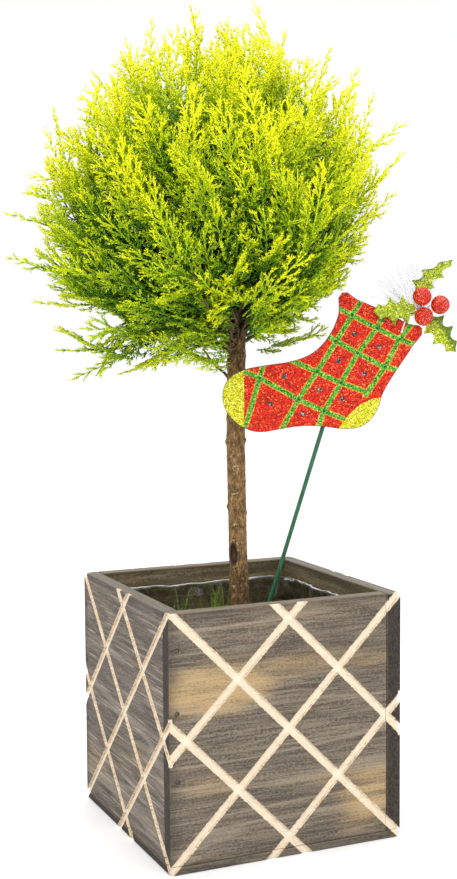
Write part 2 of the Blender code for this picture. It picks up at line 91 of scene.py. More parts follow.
def add_piece(name, mesh, body, slot, nodes, *materials):
    """Puts a mesh in the scene as a piece that stands for CAD nodes and moves with a body."""
    piece = bpy.data.objects.new(name, mesh)
    bpy.context.scene.collection.objects.link(piece)
    for material in materials:
        mesh.materials.append(material)
    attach(piece, body)
    if nodes:
        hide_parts(*nodes)
    return piece


def mesh_of(name, corners, faces, smooth=False):
    """A mesh from an array of corners and either an array of triangles or a list of faces."""
    mesh = bpy.data.meshes.new(name)
    if isinstance(faces, np.ndarray):
        sides = faces.shape[1]
        mesh.vertices.add(len(corners))
        mesh.vertices.foreach_set("co", np.asarray(corners, np.float32).ravel())
        mesh.loops.add(faces.size)
        mesh.loops.foreach_set("vertex_index", faces.astype(np.int32).ravel())
        mesh.polygons.add(len(faces))
        mesh.polygons.foreach_set("loop_start", np.arange(0, faces.size, sides, dtype=np.int32))
        mesh.polygons.foreach_set("loop_total", np.full(len(faces), sides, np.int32))
        mesh.update(calc_edges=True)
    else:
        mesh.from_pydata([tuple(c) for c in corners], [], faces)
    mesh.polygons.foreach_set("use_smooth", np.full(len(mesh.polygons), smooth))
    return mesh


def paint(mesh, name, values):
    """Stores one number for each corner of the mesh, for its material to read."""
    layer = mesh.attributes.new(name, "FLOAT", "POINT")
    layer.data.foreach_set("value", np.asarray(values, np.float32).ravel())


def unit(v):
    """Each direction at length one."""
    v = np.asarray(v, float)
    return v / np.maximum(np.linalg.norm(v, axis=-1, keepdims=True), 1e-12)


def across(direction):
    """Two directions square to each given one and to each other."""
    helper = np.where(np.abs(direction[..., 2:3]) < 0.9, (0.0, 0.0, 1.0), (1.0, 0.0, 0.0))
    first = unit(np.cross(helper, direction))
    return first, np.cross(direction, first)


def spikes(base, tip, width, turn=0.0):
    """Closed three-sided spikes from each base to each tip, as corners and triangles."""
    count = len(base)
    first, second = across(unit(tip - base))
    ring = []
    for third in range(3):
        angle = turn + third * math.tau / 3
        ring.append(
            base
            + (np.cos(angle) * width)[:, None] * first
            + (np.sin(angle) * width)[:, None] * second
        )
    corners = np.stack([*ring, tip], axis=1).reshape(-1, 3)
    pattern = np.array([(0, 2, 1), (0, 1, 3), (1, 2, 3), (2, 0, 3)])
    faces = (np.arange(count)[:, None, None] * 4 + pattern[None]).reshape(-1, 3)
    return corners, faces


def tube(path, radii, sides=6):
    """A closed tube along a path, as corners and triangles."""
    path, radii = np.asarray(path, float), np.asarray(radii, float)
    along = unit(np.gradient(path, axis=0))
    first, second = across(along)
    for i in range(1, len(path)):  # keeps the sections from twisting
        first[i] = unit(first[i - 1] - along[i] * np.dot(first[i - 1], along[i]))
        second[i] = np.cross(along[i], first[i])
    angle = np.arange(sides) * math.tau / sides
    ring = np.cos(angle)[None, :, None] * first[:, None] + np.sin(angle)[None, :, None] * second[:, None]
    corners = (path[:, None] + ring * radii[:, None, None]).reshape(-1, 3)
    faces = []
    for i in range(len(path) - 1):
        for j in range(sides):
            a, b = i * sides + j, i * sides + (j + 1) % sides
            faces += [(a, b, b + sides), (a, b + sides, a + sides)]
    last = (len(path) - 1) * sides
    for j in range(1, sides - 1):
        faces += [(0, j + 1, j), (last, last + j, last + j + 1)]
    return corners, np.array(faces)


class Heap:
    """Gathers many small closed shapes into one mesh, with numbers for the material to read."""

    def __init__(self):
        self.corners, self.faces, self.numbers, self.count = [], [], {}, 0

    def put(self, shape, **numbers):
        corners, faces = shape
        self.corners.append(corners)
        self.faces.append(faces + self.count)
        self.count += len(corners)
        for name, value in numbers.items():
            self.numbers.setdefault(name, []).append(np.broadcast_to(value, (len(corners),)))

    def mesh(self, name, smooth=False):
        made = mesh_of(name, np.concatenate(self.corners), np.concatenate(self.faces), smooth)
        for key, values in self.numbers.items():
            paint(made, key, np.concatenate(values))
        return made


def hills(points, scale, octaves=3, seed=0.0):
    """Smooth noise from -1 to 1 at each point."""
    shift = Vector((seed * 7.1, seed * 3.7, seed * 5.3))
    return np.array(
        [noise.fractal(Vector(p) * scale + shift, 1.0, 2.0, octaves) for p in points]
    )


# --- material building blocks ---------------------------------------------------------------------


def node(tree, kind, inputs=None, **settings):
    """Adds a node; an input may be a value or the socket that feeds it."""
    made = tree.nodes.new(kind)
    for name, value in settings.items():
        setattr(made, name, value)
    for key, value in (inputs or {}).items():
        if isinstance(value, bpy.types.NodeSocket):
            tree.links.new(value, made.inputs[key])
        else:
            made.inputs[key].default_value = value
    return made


def sums(tree, operation, *values):
    """One step of arithmetic on values or sockets."""
    return node(tree, "ShaderNodeMath", dict(enumerate(values)), operation=operation).outputs[0]


def plus(tree, first, second):
    return sums(tree, "ADD", first, second)


def minus(tree, first, second):
    return sums(tree, "SUBTRACT", first, second)


def times(tree, first, second):
    return sums(tree, "MULTIPLY", first, second)


def over(tree, first, second):
    return sums(tree, "DIVIDE", first, second)


def most(tree, first, second):
    return sums(tree, "MAXIMUM", first, second)


def size_of(tree, value):
    return sums(tree, "ABSOLUTE", value)


def blend(tree, share, first, second):
    """The colour that lies a share, which may vary, of the way from the first to the second."""
    return node(tree, "ShaderNodeMix", {0: share, 6: first, 7: second}, data_type="RGBA").outputs[2]


def ramp(tree, value, *stops):
    """A colour ramp through (place, colour) stops."""
    made = node(tree, "ShaderNodeValToRGB", {0: value})
    band = made.color_ramp
    while len(band.elements) < len(stops):
        band.elements.new(0.5)
    for element, (place, colour) in zip(band.elements, stops, strict=True):
        element.position = place
        element.color = (*colour[:3], 1)
    return made.outputs[0]


def scaled(colour, share, lift=0.0):
    """The colour made lighter or darker, as four numbers."""
    return tuple(min(1.0, share * c + lift) for c in colour[:3]) + (1,)


def mixed(first, second, share):
    """The plain colour that lies this share of the way from the first to the second."""
    return tuple(a + (b - a) * share for a, b in zip(first[:3], second[:3], strict=True)) + (1,)


def span(tree, value, start, end, first=0.0, last=1.0):
    """The value's place between start and end, smoothed, from first to last."""
    inputs = {0: value, 1: start, 2: end, 3: first, 4: last}
    return node(tree, "ShaderNodeMapRange", inputs, interpolation_type="SMOOTHSTEP").outputs[0]


def grains(tree, vector, scale, detail=2.0, rough=0.5, bend=0.0):
    """Smooth random values from 0 to 1."""
    inputs = {"Vector": vector, "Scale": scale, "Detail": detail, "Roughness": rough, "Distortion": bend}
    return node(tree, "ShaderNodeTexNoise", inputs).outputs["Fac"]


def cells_of(tree, vector, scale):
    """The outputs of a pattern of cells."""
    return node(tree, "ShaderNodeTexVoronoi", {"Vector": vector, "Scale": scale}).outputs


def stretched(tree, vector, scale, turn=(0, 0, 0), shift=(0, 0, 0)):
    """The vector scaled, turned and moved: a pattern is drawn out where the scale is small."""
    inputs = {"Vector": vector, "Scale": scale, "Rotation": turn, "Location": shift}
    return node(tree, "ShaderNodeMapping", inputs).outputs[0]


def painted(tree, name):
    """A number stored on the mesh by paint."""
    return node(tree, "ShaderNodeAttribute", attribute_name=name).outputs["Fac"]


def place(tree):
    """Where a point of the surface is, in metres."""
    return node(tree, "ShaderNodeTexCoord").outputs["Object"]


def facing(tree, direction):
    """How far the surface faces a direction, from -1 to 1."""
    normal = node(tree, "ShaderNodeTexCoord").outputs["Normal"]
    made = node(tree, "ShaderNodeVectorMath", {0: normal, 1: direction}, operation="DOT_PRODUCT")
    return made.outputs["Value"]


def new_material(name):
    """An empty material and its node tree."""
    material = bpy.data.materials.new(name)
    material.use_nodes = True
    material.node_tree.nodes.clear()
    return material, material.node_tree


def surface(tree, colour, roughness=0.6, height=None, depth=0.0002, strength=1.0, **sockets):
    """The material's shader, with a bump where a height is given."""
    inputs = {"Base Color": colour, "Roughness": roughness}
    if height is not None:
        bump = node(
            tree, "ShaderNodeBump", {"Height": height, "Distance": depth, "Strength": strength}
        )
        inputs["Normal"] = bump.outputs[0]
    inputs.update({key.replace("_", " "): value for key, value in sockets.items()})
    shader = node(tree, "ShaderNodeBsdfPrincipled", inputs)
    node(tree, "ShaderNodeOutputMaterial", {"Surface": shader.outputs[0]})
    return shader


def new_group(name, inputs, outputs):
    """A node group with named sockets: returns its tree, its inputs' sockets and its output node."""
    tree = bpy.data.node_groups.new(name, "ShaderNodeTree")
    for title, (kind, value) in inputs.items():
        socket = tree.interface.new_socket(title, in_out="INPUT", socket_type=f"NodeSocket{kind}")
        if value is not None:
            socket.default_value = value
    for title, kind in outputs.items():
        tree.interface.new_socket(title, in_out="OUTPUT", socket_type=f"NodeSocket{kind}")
    into = tree.nodes.new("NodeGroupInput")
    return tree, into.outputs, tree.nodes.new("NodeGroupOutput")


def put_out(tree, out, **sockets):
    """Feeds a group's outputs, and returns the group."""
    for title, socket in sockets.items():
        tree.links.new(socket, out.inputs[title])
    return tree


def use_group(tree, group, **inputs):
    """Places a group in a material; an underscore in a name stands for a space."""
    made = tree.nodes.new("ShaderNodeGroup")
    made.node_tree = group
    for key, value in inputs.items():
        socket = made.inputs[key.replace("_", " ")]
        if isinstance(value, bpy.types.NodeSocket):
            tree.links.new(value, socket)
        else:
            socket.default_value = value
    return made.outputs


def grain_group():
    """Sawn, weathered softwood: grain runs along the vector's X."""
    found = bpy.data.node_groups.get("sawn_grain")
    if found:
        return found
    tree, into, out = new_group(
        "sawn_grain",
        {"Vector": ("Vector", None), "Ring Scale": ("Float", 1.0)},
        dict.fromkeys(("Fibre", "Ring", "Light", "Scratch", "Patch", "Height"), "Float"),
    )
    at = into["Vector"]
    long = grains(tree, stretched(tree, at, (0.06, 1, 1)), 620, 3, 0.6)
    short = grains(tree, stretched(tree, at, (0.42, 1, 1)), 1250, 5, 0.85)
    fibre = plus(tree, times(tree, long, 0.30), times(tree, short, 0.70))
    broad = grains(tree, stretched(tree, at, (0.055, 1, 1)), 30, 2, 0.4)
    phase = times(tree, times(tree, broad, into["Ring Scale"]), 46)
    ring = span(tree, sums(tree, "SINE", phase), -0.1, 1.0)
    light = span(tree, sums(tree, "SINE", plus(tree, phase, 2.6)), 0.80, 1.0)
    streak = grains(tree, stretched(tree, at, (0.030, 1, 1), shift=(0.3, 0.1, 0.2)), 900, 1, 0.5)
    scratch = span(tree, streak, 0.60, 0.70)
    region = stretched(tree, at, (0.35, 1, 1), shift=(0.7, 0, 0))
    patch = span(tree, grains(tree, region, 22, 2), 0.55, 0.72)
    height = minus(tree, plus(tree, fibre, times(tree, light, 0.4)), scratch)
    return put_out(
        tree, out, Fibre=fibre, Ring=ring, Light=light, Scratch=scratch, Patch=patch, Height=height
    )


def glitter_group():
    """Loose glitter: flakes of random lightness, a few of them given a painted glint, each tilted its own way.
    """
    found = bpy.data.node_groups.get("glitter_flakes")
    if found:
        return found
    tree, into, out = new_group(
        "glitter_flakes",
        {
            "Vector": ("Vector", None),
            "Flake": ("Float", 0.0005),
            "Dark": ("Color", (0, 0, 0, 1)),
            "Body": ("Color", (1, 0, 0, 1)),
            "Flash": ("Color", (1, 1, 1, 1)),
            "Flashing": ("Float", 0.1),
        },
        {"Color": "Color", "Roughness": "Float", "Height": "Float", "Lightness": "Float"},
    )
    scale = over(tree, 1.0, into["Flake"])
    cells = cells_of(tree, into["Vector"], scale)["Color"]
    parts = node(tree, "ShaderNodeSeparateColor", {0: cells})
    light, chance, rise = parts.outputs
    colour = blend(tree, span(tree, light, 0.0, 0.75), into["Dark"], into["Body"])
    # A share of the flakes are painted with a glint colour.
    painted_glint = sums(tree, "GREATER_THAN", chance, minus(tree, 1.0, into["Flashing"]))
    colour = blend(tree, painted_glint, colour, into["Flash"])
    rough = span(tree, light, 0, 1, 0.55, 0.28)
    return put_out(tree, out, Color=colour, Roughness=rough, Height=rise, Lightness=light)


# --- settings -------------------------------------------------------------------------------------


def colour_property(title, text, default):
    return FloatVectorProperty(
        name=title, description=text, default=default, size=3, min=0, max=1, subtype="COLOR"
    )


class PlanterSettings(bpy.types.PropertyGroup):
    """Colours of the scored wooden box and the film in it."""

    grey: colour_property("Weathered grey", "Stained face of the boards", (0.194, 0.160, 0.118))
    dark: colour_property("Dark grain", "Lines of late wood and open pores", (0.040, 0.032, 0.026))
    tan: colour_property("Bare wood", "Patches where the stain has rubbed off", (0.46, 0.315, 0.150))
    inside: colour_property("Inside", "Unstained inner faces", (0.240, 0.187, 0.100))
    cream: colour_property("Scored lines", "Fresh wood in the scored lines", (0.80, 0.69, 0.54))
    line_width: FloatProperty(
        name="Line width", description="Width of a scored line", default=0.0046, unit="LENGTH"
    )
    crinkle: FloatProperty(
        name="Film crinkle", description="Depth of the film's creases", default=0.0016, unit="LENGTH"
    )


class FoliageSettings(bpy.types.PropertyGroup):
    """Numbers and colours of the plumes in the head."""

    outer: IntProperty(name="Outer plumes", description="Plumes that reach the outline", default=330)
    middle: IntProperty(name="Middle plumes", description="Plumes just under the outline", default=175)
    inner: IntProperty(name="Inner plumes", description="Short shaded plumes inside", default=130)
    plume: FloatProperty(
        name="Plume length", description="Length of an outer plume", default=0.066, unit="LENGTH"
    )
    needle: FloatProperty(
        name="Needle length", description="Length of one needle", default=0.0022, unit="LENGTH"
    )
    tip: colour_property("Tips", "Fresh growth at the outline", (0.95, 0.96, 0.006))
    lime: colour_property("Young green", "Growth just under the tips", (0.54, 0.70, 0.005))
    green: colour_property("Green", "Shaded growth", (0.115, 0.310, 0.009))
    deep: colour_property("Deep green", "Growth inside the head", (0.026, 0.075, 0.006))
    twig: colour_property("Twigs", "Bare twigs inside the head", (0.105, 0.070, 0.026))


class PickSettings(bpy.types.PropertyGroup):
    """Colours and grain of the stocking pick."""

    red: colour_property("Red glitter", "Field of the stocking", (0.74, 0.022, 0.004))
    green: colour_property("Green glitter", "Checked lines", (0.055, 0.36, 0.022))
    yellow: colour_property("Yellow glitter", "Toe, heel and leaves", (0.66, 0.62, 0.008))
    lacquer: colour_property("Stick", "Lacquer on the stick", (0.005, 0.115, 0.040))
    flake: FloatProperty(
        name="Flake", description="Size of a glitter flake", default=0.0006, unit="LENGTH"
    )


class StageSettings(bpy.types.PropertyGroup):
    """Light and floor."""

    floor: colour_property("Floor", "Plain pale floor", (0.93, 0.93, 0.93))
    sky: FloatProperty(name="Surround", description="Strength of the white surround", default=1.0)
    sun: FloatProperty(name="Sun", description="Strength of the broad light from above", default=0.55)
    key: FloatProperty(name="Key light", description="Power of the large front light", default=11.0)


def settings(name):
    """One of the scene's groups of settings."""
    return getattr(bpy.context.scene, "tree_" + name)


CAMERA_SPOT = (-0.35724, -0.79238, 0.31218)
CAMERA_TURNS = (-24.011, 4.555, -0.367)     # round the tree, down, and roll, in degrees
CAMERA_LENS = 56.63
LAMPS_AIM = Vector((0, 0, 0.28))
FLOOR_REACH, FLOOR_DROP = 6.0, 0.0002       # the floor lies just under the base board


class TREE_OT_stage(bpy.types.Operator):
    """Makes the camera, the lights and the floor"""

    bl_idname = "tree.stage"
    bl_label = "Stage"

    def execute(self, context):
        chosen = settings("stage")
        scene = context.scene
        scene.view_settings.view_transform = "Standard"
        scene.view_settings.look = "None"

        lens = bpy.data.cameras.new("camera")
        lens.lens, lens.sensor_width, lens.sensor_fit = CAMERA_LENS, 36, "AUTO"
        lens.clip_start, lens.clip_end = 0.02, 50
        camera = bpy.data.objects.new("camera", lens)
        scene.collection.objects.link(camera)
        turn, dip, roll = (math.radians(angle) for angle in CAMERA_TURNS)
        ahead = Vector(
            (-math.sin(turn) * math.cos(dip), math.cos(turn) * math.cos(dip), -math.sin(dip))
        )
        right = Vector((math.cos(turn), math.sin(turn), 0))
        level_up = right.cross(ahead)
        side = math.cos(roll) * right + math.sin(roll) * level_up
        head = -math.sin(roll) * right + math.cos(roll) * level_up
        camera.matrix_world = Matrix.Translation(CAMERA_SPOT) @ (
            Matrix((side, head, -ahead)).transposed().to_4x4()
        )
        scene.camera = camera

        world = bpy.data.worlds.new("surround")
        scene.world = world
        world.use_nodes = True
        backdrop = world.node_tree.nodes["Background"]
        backdrop.inputs["Color"].default_value = (1, 1, 1, 1)
        backdrop.inputs["Strength"].default_value = chosen.sky

        for name, spot, size, power in (
            ("key", (-0.75, -1.15, 1.25), 0.9, chosen.key),
            ("fill", (1.3, -0.7, 0.75), 0.8, chosen.key * 0.35),
            ("top", (0.15, 0.25, 1.5), 0.8, chosen.key * 0.55),
        ):
            light = bpy.data.lights.new(name, "AREA")
            light.energy, light.size = power, size
            lamp = bpy.data.objects.new(name, light)
            scene.collection.objects.link(lamp)
            lamp.location = spot
            aim = LAMPS_AIM - Vector(spot)
            lamp.rotation_euler = aim.to_track_quat("-Z", "Y").to_euler()

        sun = bpy.data.lights.new("sun", "SUN")
        sun.energy, sun.angle = chosen.sun, math.radians(60)
        lamp = bpy.data.objects.new("sun", sun)
        scene.collection.objects.link(lamp)
        lamp.rotation_euler = (math.radians(25), math.radians(-20), 0)

        signs = ((-1, -1), (1, -1), (1, 1), (-1, 1))
        rim = [(x * FLOOR_REACH, y * FLOOR_REACH, -FLOOR_DROP) for x, y in signs]
        floor = mesh_of("floor", rim, [(0, 1, 2, 3)])
        material, tree = new_material("pale_floor")
        speck = grains(tree, place(tree), 40, 2)
        pale = tuple(chosen.floor)
        colour = ramp(tree, speck, (0.0, tuple(c * 0.99 for c in pale)), (1.0, pale))
        surface(tree, colour, 0.9)
        floor.materials.append(material)
        ground = bpy.data.objects.new("floor", floor)
        scene.collection.objects.link(ground)
        return {"FINISHED"}


# --- planter --------------------------------------------------------------------------------------

LINE_MIDDLE, LINE_PITCH = 0.0775, 0.0655    # the lattice's middle height and its lines' spacing
PLANTER_HALF = 0.076
FACE_MIDDLE = 0.0770                        # the height from which the darkening towards a face's edges is measured
SCORED_SKIN = 0.0018                        # how deep in from the outside a board counts as scored


def lattice(tree, sideways, upward, ragged, width):
    """Where the scored lines run on a face: 1 on a line, and how the tool dragged along it."""
    scored, drag = None, None
    for slant in (1, -1):
        # lines at 45 degrees: whole steps of the pitch away from the lattice's middle
        leaning = times(tree, sideways, slant)
        above = minus(tree, upward, LINE_MIDDLE)
        steps = over(tree, minus(tree, above, leaning), LINE_PITCH)
        off = size_of(tree, minus(tree, steps, sums(tree, "ROUND", steps)))
        away = plus(tree, times(tree, off, LINE_PITCH / math.sqrt(2)), ragged)
        line = span(tree, away, width * 0.60, width * 0.47)
        line = times(tree, line, sums(tree, "LESS_THAN", size_of(tree, steps), 1.5))
        strand, run = times(tree, steps, 40.0), plus(tree, above, leaning)
        along = node(tree, "ShaderNodeCombineXYZ", {0: strand, 1: run}).outputs[0]
        pull = grains(tree, stretched(tree, along, (1, 45, 1)), 2.2, 3, 0.6)
        pull = times(tree, pull, line)
        scored = line if scored is None else most(tree, scored, line)
        drag = pull if drag is None else most(tree, drag, pull)
    return scored, drag


def board_material(name, grain, outward, tint, patches=()):
    """Weathered wood for one board.

    Grain and outward are directions. A patch is a bare spot on the face: its place along and up the
    face, its half length and half height, and how bare it is.
    """
    chosen = settings("planter")
    material, tree = new_material(name)
    at = place(tree)
    parts = node(tree, "ShaderNodeSeparateXYZ", {0: at}).outputs
    flat = abs(grain[0]) > 0.5
    sideways, upward = (parts[0] if flat else parts[1]), parts[2]
    turned = at if flat else stretched(tree, at, (1, 1, 1), (0, 0, math.pi / 2))
    seed = sum(ord(c) for c in name) % 17
    moved = stretched(tree, turned, (1, 1, 1), shift=(seed * 0.37, seed * 0.11, seed * 0.23))
    wood = use_group(tree, grain_group(), Vector=moved)
    grey, dark = tuple(c * t for c, t in zip(chosen.grey, tint, strict=True)), tuple(chosen.dark)
    pale = scaled(grey, 2.1, 0.03)

    fibre = span(tree, wood["Fibre"], 0.42, 0.58)
    face = blend(tree, fibre, mixed(grey, dark, 0.85), scaled(grey, 1.12))
    face = blend(tree, span(tree, wood["Ring"], 0.0, 1.0, 0.0, 0.26), face, mixed(grey, dark, 0.9))
    face = blend(tree, span(tree, wood["Light"], 0.0, 1.0, 0.0, 0.22), face, pale)
    bare = times(tree, wood["Patch"], 0.22)
    wide = grains(tree, stretched(tree, moved, (0.30, 1, 1)), 42, 3, 0.55)
    for spot_side, spot_up, half_side, half_up, amount in patches:
        a = over(tree, minus(tree, sideways, spot_side), half_side)
        b = over(tree, minus(tree, upward, spot_up), half_up)
        away = sums(tree, "SQRT", plus(tree, times(tree, a, a), times(tree, b, b)))
        away = plus(tree, away, times(tree, minus(tree, wide, 0.5), 2.0))
        bare = most(tree, bare, span(tree, away, 1.20, 0.35, 0.0, amount))
    bare = times(tree, bare, span(tree, wood["Ring"], 0.9, 0.1, 0.55, 1.0))
    bare = times(tree, bare, span(tree, wood["Fibre"], 0.38, 0.55, 0.35, 1.0))
    face = blend(tree, bare, face, (*chosen.tan, 1))
    face = blend(tree, times(tree, wood["Scratch"], 0.20 if flat else 0.6), face, pale)

    fibre = span(tree, wood["Fibre"], 0.36, 0.60)
    inner = blend(tree, fibre, scaled(chosen.inside, 0.10), (*chosen.inside, 1))
    inner = blend(tree, times(tree, wood["Ring"], 0.8), inner, scaled(chosen.inside, 0.4))
    colour = blend(tree, span(tree, facing(tree, outward), -0.6, -0.8), face, inner)
    # Each face grows darker towards its edges.
    from_middle = most(tree, size_of(tree, sideways), size_of(tree, minus(tree, upward, FACE_MIDDLE)))
    from_middle = plus(tree, from_middle, times(tree, minus(tree, wide, 0.5), 0.012))
    colour = blend(tree, span(tree, from_middle, 0.0655, 0.0775, 0.0, 0.55), colour, (*dark, 1))
    fibre = span(tree, wood["Fibre"], 0.3, 0.6)
    rim = blend(tree, fibre, mixed(grey, dark, 0.6), scaled(grey, 1.35))
    colour = blend(tree, span(tree, facing(tree, (0, 0, 1)), 0.6, 0.9), colour, rim)
    # End grain is darker: partly its own colour, partly painted shade in the seams between boards.
    pores = grains(tree, stretched(tree, at, (1, 1, 0.5)), 1100, 2)
    end_grain_and_seam_shade = blend(tree, span(tree, pores, 0.35, 0.65), mixed(dark, (0, 0, 0), 0.4), mixed(grey, dark, 0.93))
    colour = blend(tree, span(tree, size_of(tree, facing(tree, grain)), 0.75, 0.9), colour, end_grain_and_seam_shade)

    # The lines are scored after the box is nailed up, so they run over the boards' ends too.
    noise_at = minus(tree, grains(tree, at, 700, 4, 0.75), 0.5)
    ragged = times(tree, noise_at, 0.0019)
    scored, drag = None, None
    for across_face, through in ((parts[0], parts[1]), (parts[1], parts[0])):
        line, pull = lattice(tree, across_face, upward, ragged, chosen.line_width)
        skin = sums(tree, "GREATER_THAN", size_of(tree, through), PLANTER_HALF - SCORED_SKIN)
        line, pull = times(tree, line, skin), times(tree, pull, skin)
        scored = line if scored is None else most(tree, scored, line)
        drag = pull if drag is None else most(tree, drag, pull)
    stained = mixed(chosen.cream, chosen.tan, 0.45)
    fresh = blend(tree, span(tree, drag, 0.30, 0.60), stained, (*chosen.cream, 1))
    fresh = blend(tree, span(tree, noise_at, 0.10, 0.30, 0.0, 0.45), fresh, mixed(chosen.cream, grey, 0.7))
    colour = blend(tree, scored, colour, fresh)
    height = plus(tree, times(tree, wood["Height"], 0.6), times(tree, drag, 0.5))
    rough = span(tree, wood["Fibre"], 0.2, 0.8, 0.88, 0.72)
    surface(tree, colour, rough, height, 0.00035, 0.8, Specular_IOR_Level=0.25)
    return material


def dress(name, *materials):
    """Gives a CAD node that keeps its shape its finish."""
    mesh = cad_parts[name].data
    mesh.materials.clear()
    for material in materials:
        mesh.materials.append(material)


class TREE_OT_boards(bpy.types.Operator):
    """Finishes the four side boards and the base board"""

    bl_idname = "tree.boards"
    bl_label = "Boards"

    def execute(self, context):
        front = (
            (-0.048, 0.109, 0.043, 0.018, 0.85), (0.020, 0.115, 0.060, 0.009, 0.5),
            (0.052, 0.028, 0.028, 0.019, 0.85), (-0.050, 0.050, 0.02, 0.01, 0.3),
            (0.045, 0.044, 0.035, 0.006, 0.4),
        )
        right = ((0.02, 0.05, 0.03, 0.012, 0.5),)
        back = ((0.03, 0.1, 0.035, 0.014, 0.6), (-0.03, 0.04, 0.03, 0.016, 0.5))
        plain, cool = (1, 1, 1), (0.98, 1.0, 1.12)
        for name, grain, outward, tint, patches in (
            ("front_board", (1, 0, 0), (0, -1, 0), plain, front),
            ("back_board", (1, 0, 0), (0, 1, 0), plain, back),
            ("left_board", (0, 1, 0), (-1, 0, 0), cool, ()),
            ("right_board", (0, 1, 0), (1, 0, 0), cool, right),
            ("base_board", (1, 0, 0), (0, 0, -1), plain, ()),
        ):
            dress(name, board_material(name + "_wood", grain, outward, tint, patches))
        return {"FINISHED"}


class TREE_OT_nails(bpy.types.Operator):
    """Finishes the sixteen steel nails"""

    bl_idname = "tree.nails"
    bl_label = "Nails"

    def execute(self, context):
        material, tree = new_material("nail_steel")
        stain = grains(tree, place(tree), 900, 3)
        colour = ramp(tree, stain, (0.35, (0.035, 0.026, 0.020)), (0.65, (0.16, 0.14, 0.12)))
        surface(tree, colour, span(tree, stain, 0.3, 0.7, 0.75, 0.5), stain, 0.00005, Metallic=0.5)
        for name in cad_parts:
            if name.startswith(("nail_", "base_nail_")):
                dress(name, material)
        return {"FINISHED"}


def rounded_square(half, radius, per_side, per_corner):
    """Points round a square with rounded corners, anticlockwise from the middle of its right side."""
    points = []
    for corner in range(4):
        turn = Matrix.Rotation(corner * math.pi / 2, 2)
        flat = half - radius
        for i in range(per_side):
            points.append(turn @ Vector((half, -flat + 2 * flat * i / per_side)))
        for i in range(per_corner):
            angle = i / per_corner * math.pi / 2
            points.append(
                turn @ Vector((flat + radius * math.cos(angle), flat + radius * math.sin(angle)))
            )
    return np.array([tuple(p) for p in points])


FILM = 0.00035              # how thick the film looks
HEM = 0.0014                # height of the rolled rim at its top


class TREE_OT_liner(bpy.types.Operator):
    """Makes the crinkled clear film that lines the planter"""

    bl_idname = "tree.liner"
    bl_label = "Film liner"

    def execute(self, context):
        chosen = settings("planter")
        low_corner, high_corner = low("plastic_liner"), high("plastic_liner")
        half = high_corner.x - 0.0001
        ring = rounded_square(half, 0.016, 70, 16)
        count = len(ring)
        fill_top, lip = high("foam_block").z, high_corner.z
        heights = np.concatenate([
            np.linspace(low_corner.z + 0.0002, fill_top, 14),
            np.linspace(fill_top + 0.001, lip - 0.0013, 16),
            lip - np.array((0.0010, 0.0005, 0.0)),
        ])
        inward = unit(-ring)
        walls = []
        for face_shift in (0.0, FILM):
            for height in heights:
                free = min(1.0, max(0.0, (height - fill_top) / 0.008))
                at = np.column_stack([ring, np.full(count, height)])
                folds = np.abs(hills(at * (1, 1, 0.35), 120, 3, 1.0))
                fine = np.abs(hills(at * (1, 1, 0.6), 420, 2, 4.0))
                beads = np.abs(hills(at * (1, 1, 0), 230, 2, 6.0))
                bead = max(0.0, 1 - (lip - height) / HEM) * (0.0009 + 0.0022 * beads)
                creases = chosen.crinkle * folds * 2.2 + 0.0005 * fine
                push = (face_shift + bead if face_shift else 0.0) + free * creases
                droop = free * 0.0012 * hills(np.column_stack([ring, np.zeros(count)]), 60, 2, 2.0)
                level = height + (droop if height > fill_top + 0.004 else 0)
                flat = ring + inward * np.broadcast_to(push, (count,))[:, None]
                level = np.broadcast_to(np.minimum(level, lip), (count,))
                walls.append(np.column_stack([flat, level]))
        rows = len(heights)
        corners = np.concatenate(walls)
        faces = []
        outer = np.arange(rows * count).reshape(rows, count)
        inner, top = outer + rows * count, rows - 1
        for i in range(count):
            j = (i + 1) % count
            for row in range(rows - 1):
                faces.append((outer[row, i], outer[row, j], outer[row + 1, j], outer[row + 1, i]))
                faces.append((inner[row, i], inner[row + 1, i], inner[row + 1, j], inner[row, j]))
            faces.append((outer[top, i], outer[top, j], inner[top, j], inner[top, i]))
        corners[count * rows : count * rows + count, 2] += FILM     # the inner floor lies higher
        faces += [tuple(outer[0, ::-1]), tuple(inner[0])]
        mesh = mesh_of("plastic_liner", corners, faces, smooth=True)

        material, tree = new_material("clear_film")
        crease = grains(tree, stretched(tree, place(tree), (1, 1, 0.5)), 300, 4, 0.7, 0.6)
        colour = ramp(tree, crease, (0.3, (0.86, 0.88, 0.87)), (0.7, (0.98, 0.99, 0.98)))
        surface(
            tree, colour, span(tree, crease, 0.3, 0.8, 0.03, 0.22), crease, 0.0006, 0.8,
            Transmission_Weight=1.0, IOR=1.45,
        )
        # The rolled rim is coloured white with glints: a painted highlight along the film's top edge.
        rim_highlight, tree = new_material("film_rim_highlight")
        glint = grains(tree, place(tree), 420, 3, 0.7)
        colour = ramp(tree, glint, (0.30, (0.55, 0.56, 0.54)), (0.50, (0.98, 0.98, 0.97)))
        rough = span(tree, glint, 0.3, 0.7, 0.35, 0.12)
        surface(tree, colour, rough, glint, 0.0004, 0.8, Coat_Weight=0.6)
        add_piece("plastic_liner_film", mesh, "tree", "clear_film", ["plastic_liner"], material, rim_highlight)
        heights_of = np.array([polygon.center.z for polygon in mesh.polygons])
        mesh.polygons.foreach_set("material_index", (heights_of > lip - HEM).astype(np.int32))
        return {"FINISHED"}


class TREE_OT_fill(bpy.types.Operator):
    """Finishes the plaster ballast and the foam that hold the trunk and the pick"""

    bl_idname = "tree.fill"
    bl_label = "Ballast and foam"

    def execute(self, context):
        for name, first, second, scale in (
            ("ballast_block", (0.50, 0.47, 0.42), (0.66, 0.64, 0.60), 220),
            ("foam_block", (0.045, 0.10, 0.03), (0.10, 0.19, 0.06), 1400),
        ):
            material, tree = new_material(name + "_finish")
            pores = cells_of(tree, place(tree), scale)["Distance"]
            colour = ramp(tree, pores, (0.15, first), (0.6, second))
            surface(tree, colour, span(tree, pores, 0, 0.8, 0.95, 0.8), pores, 0.0005)
            dress(name, material)
        return {"FINISHED"}


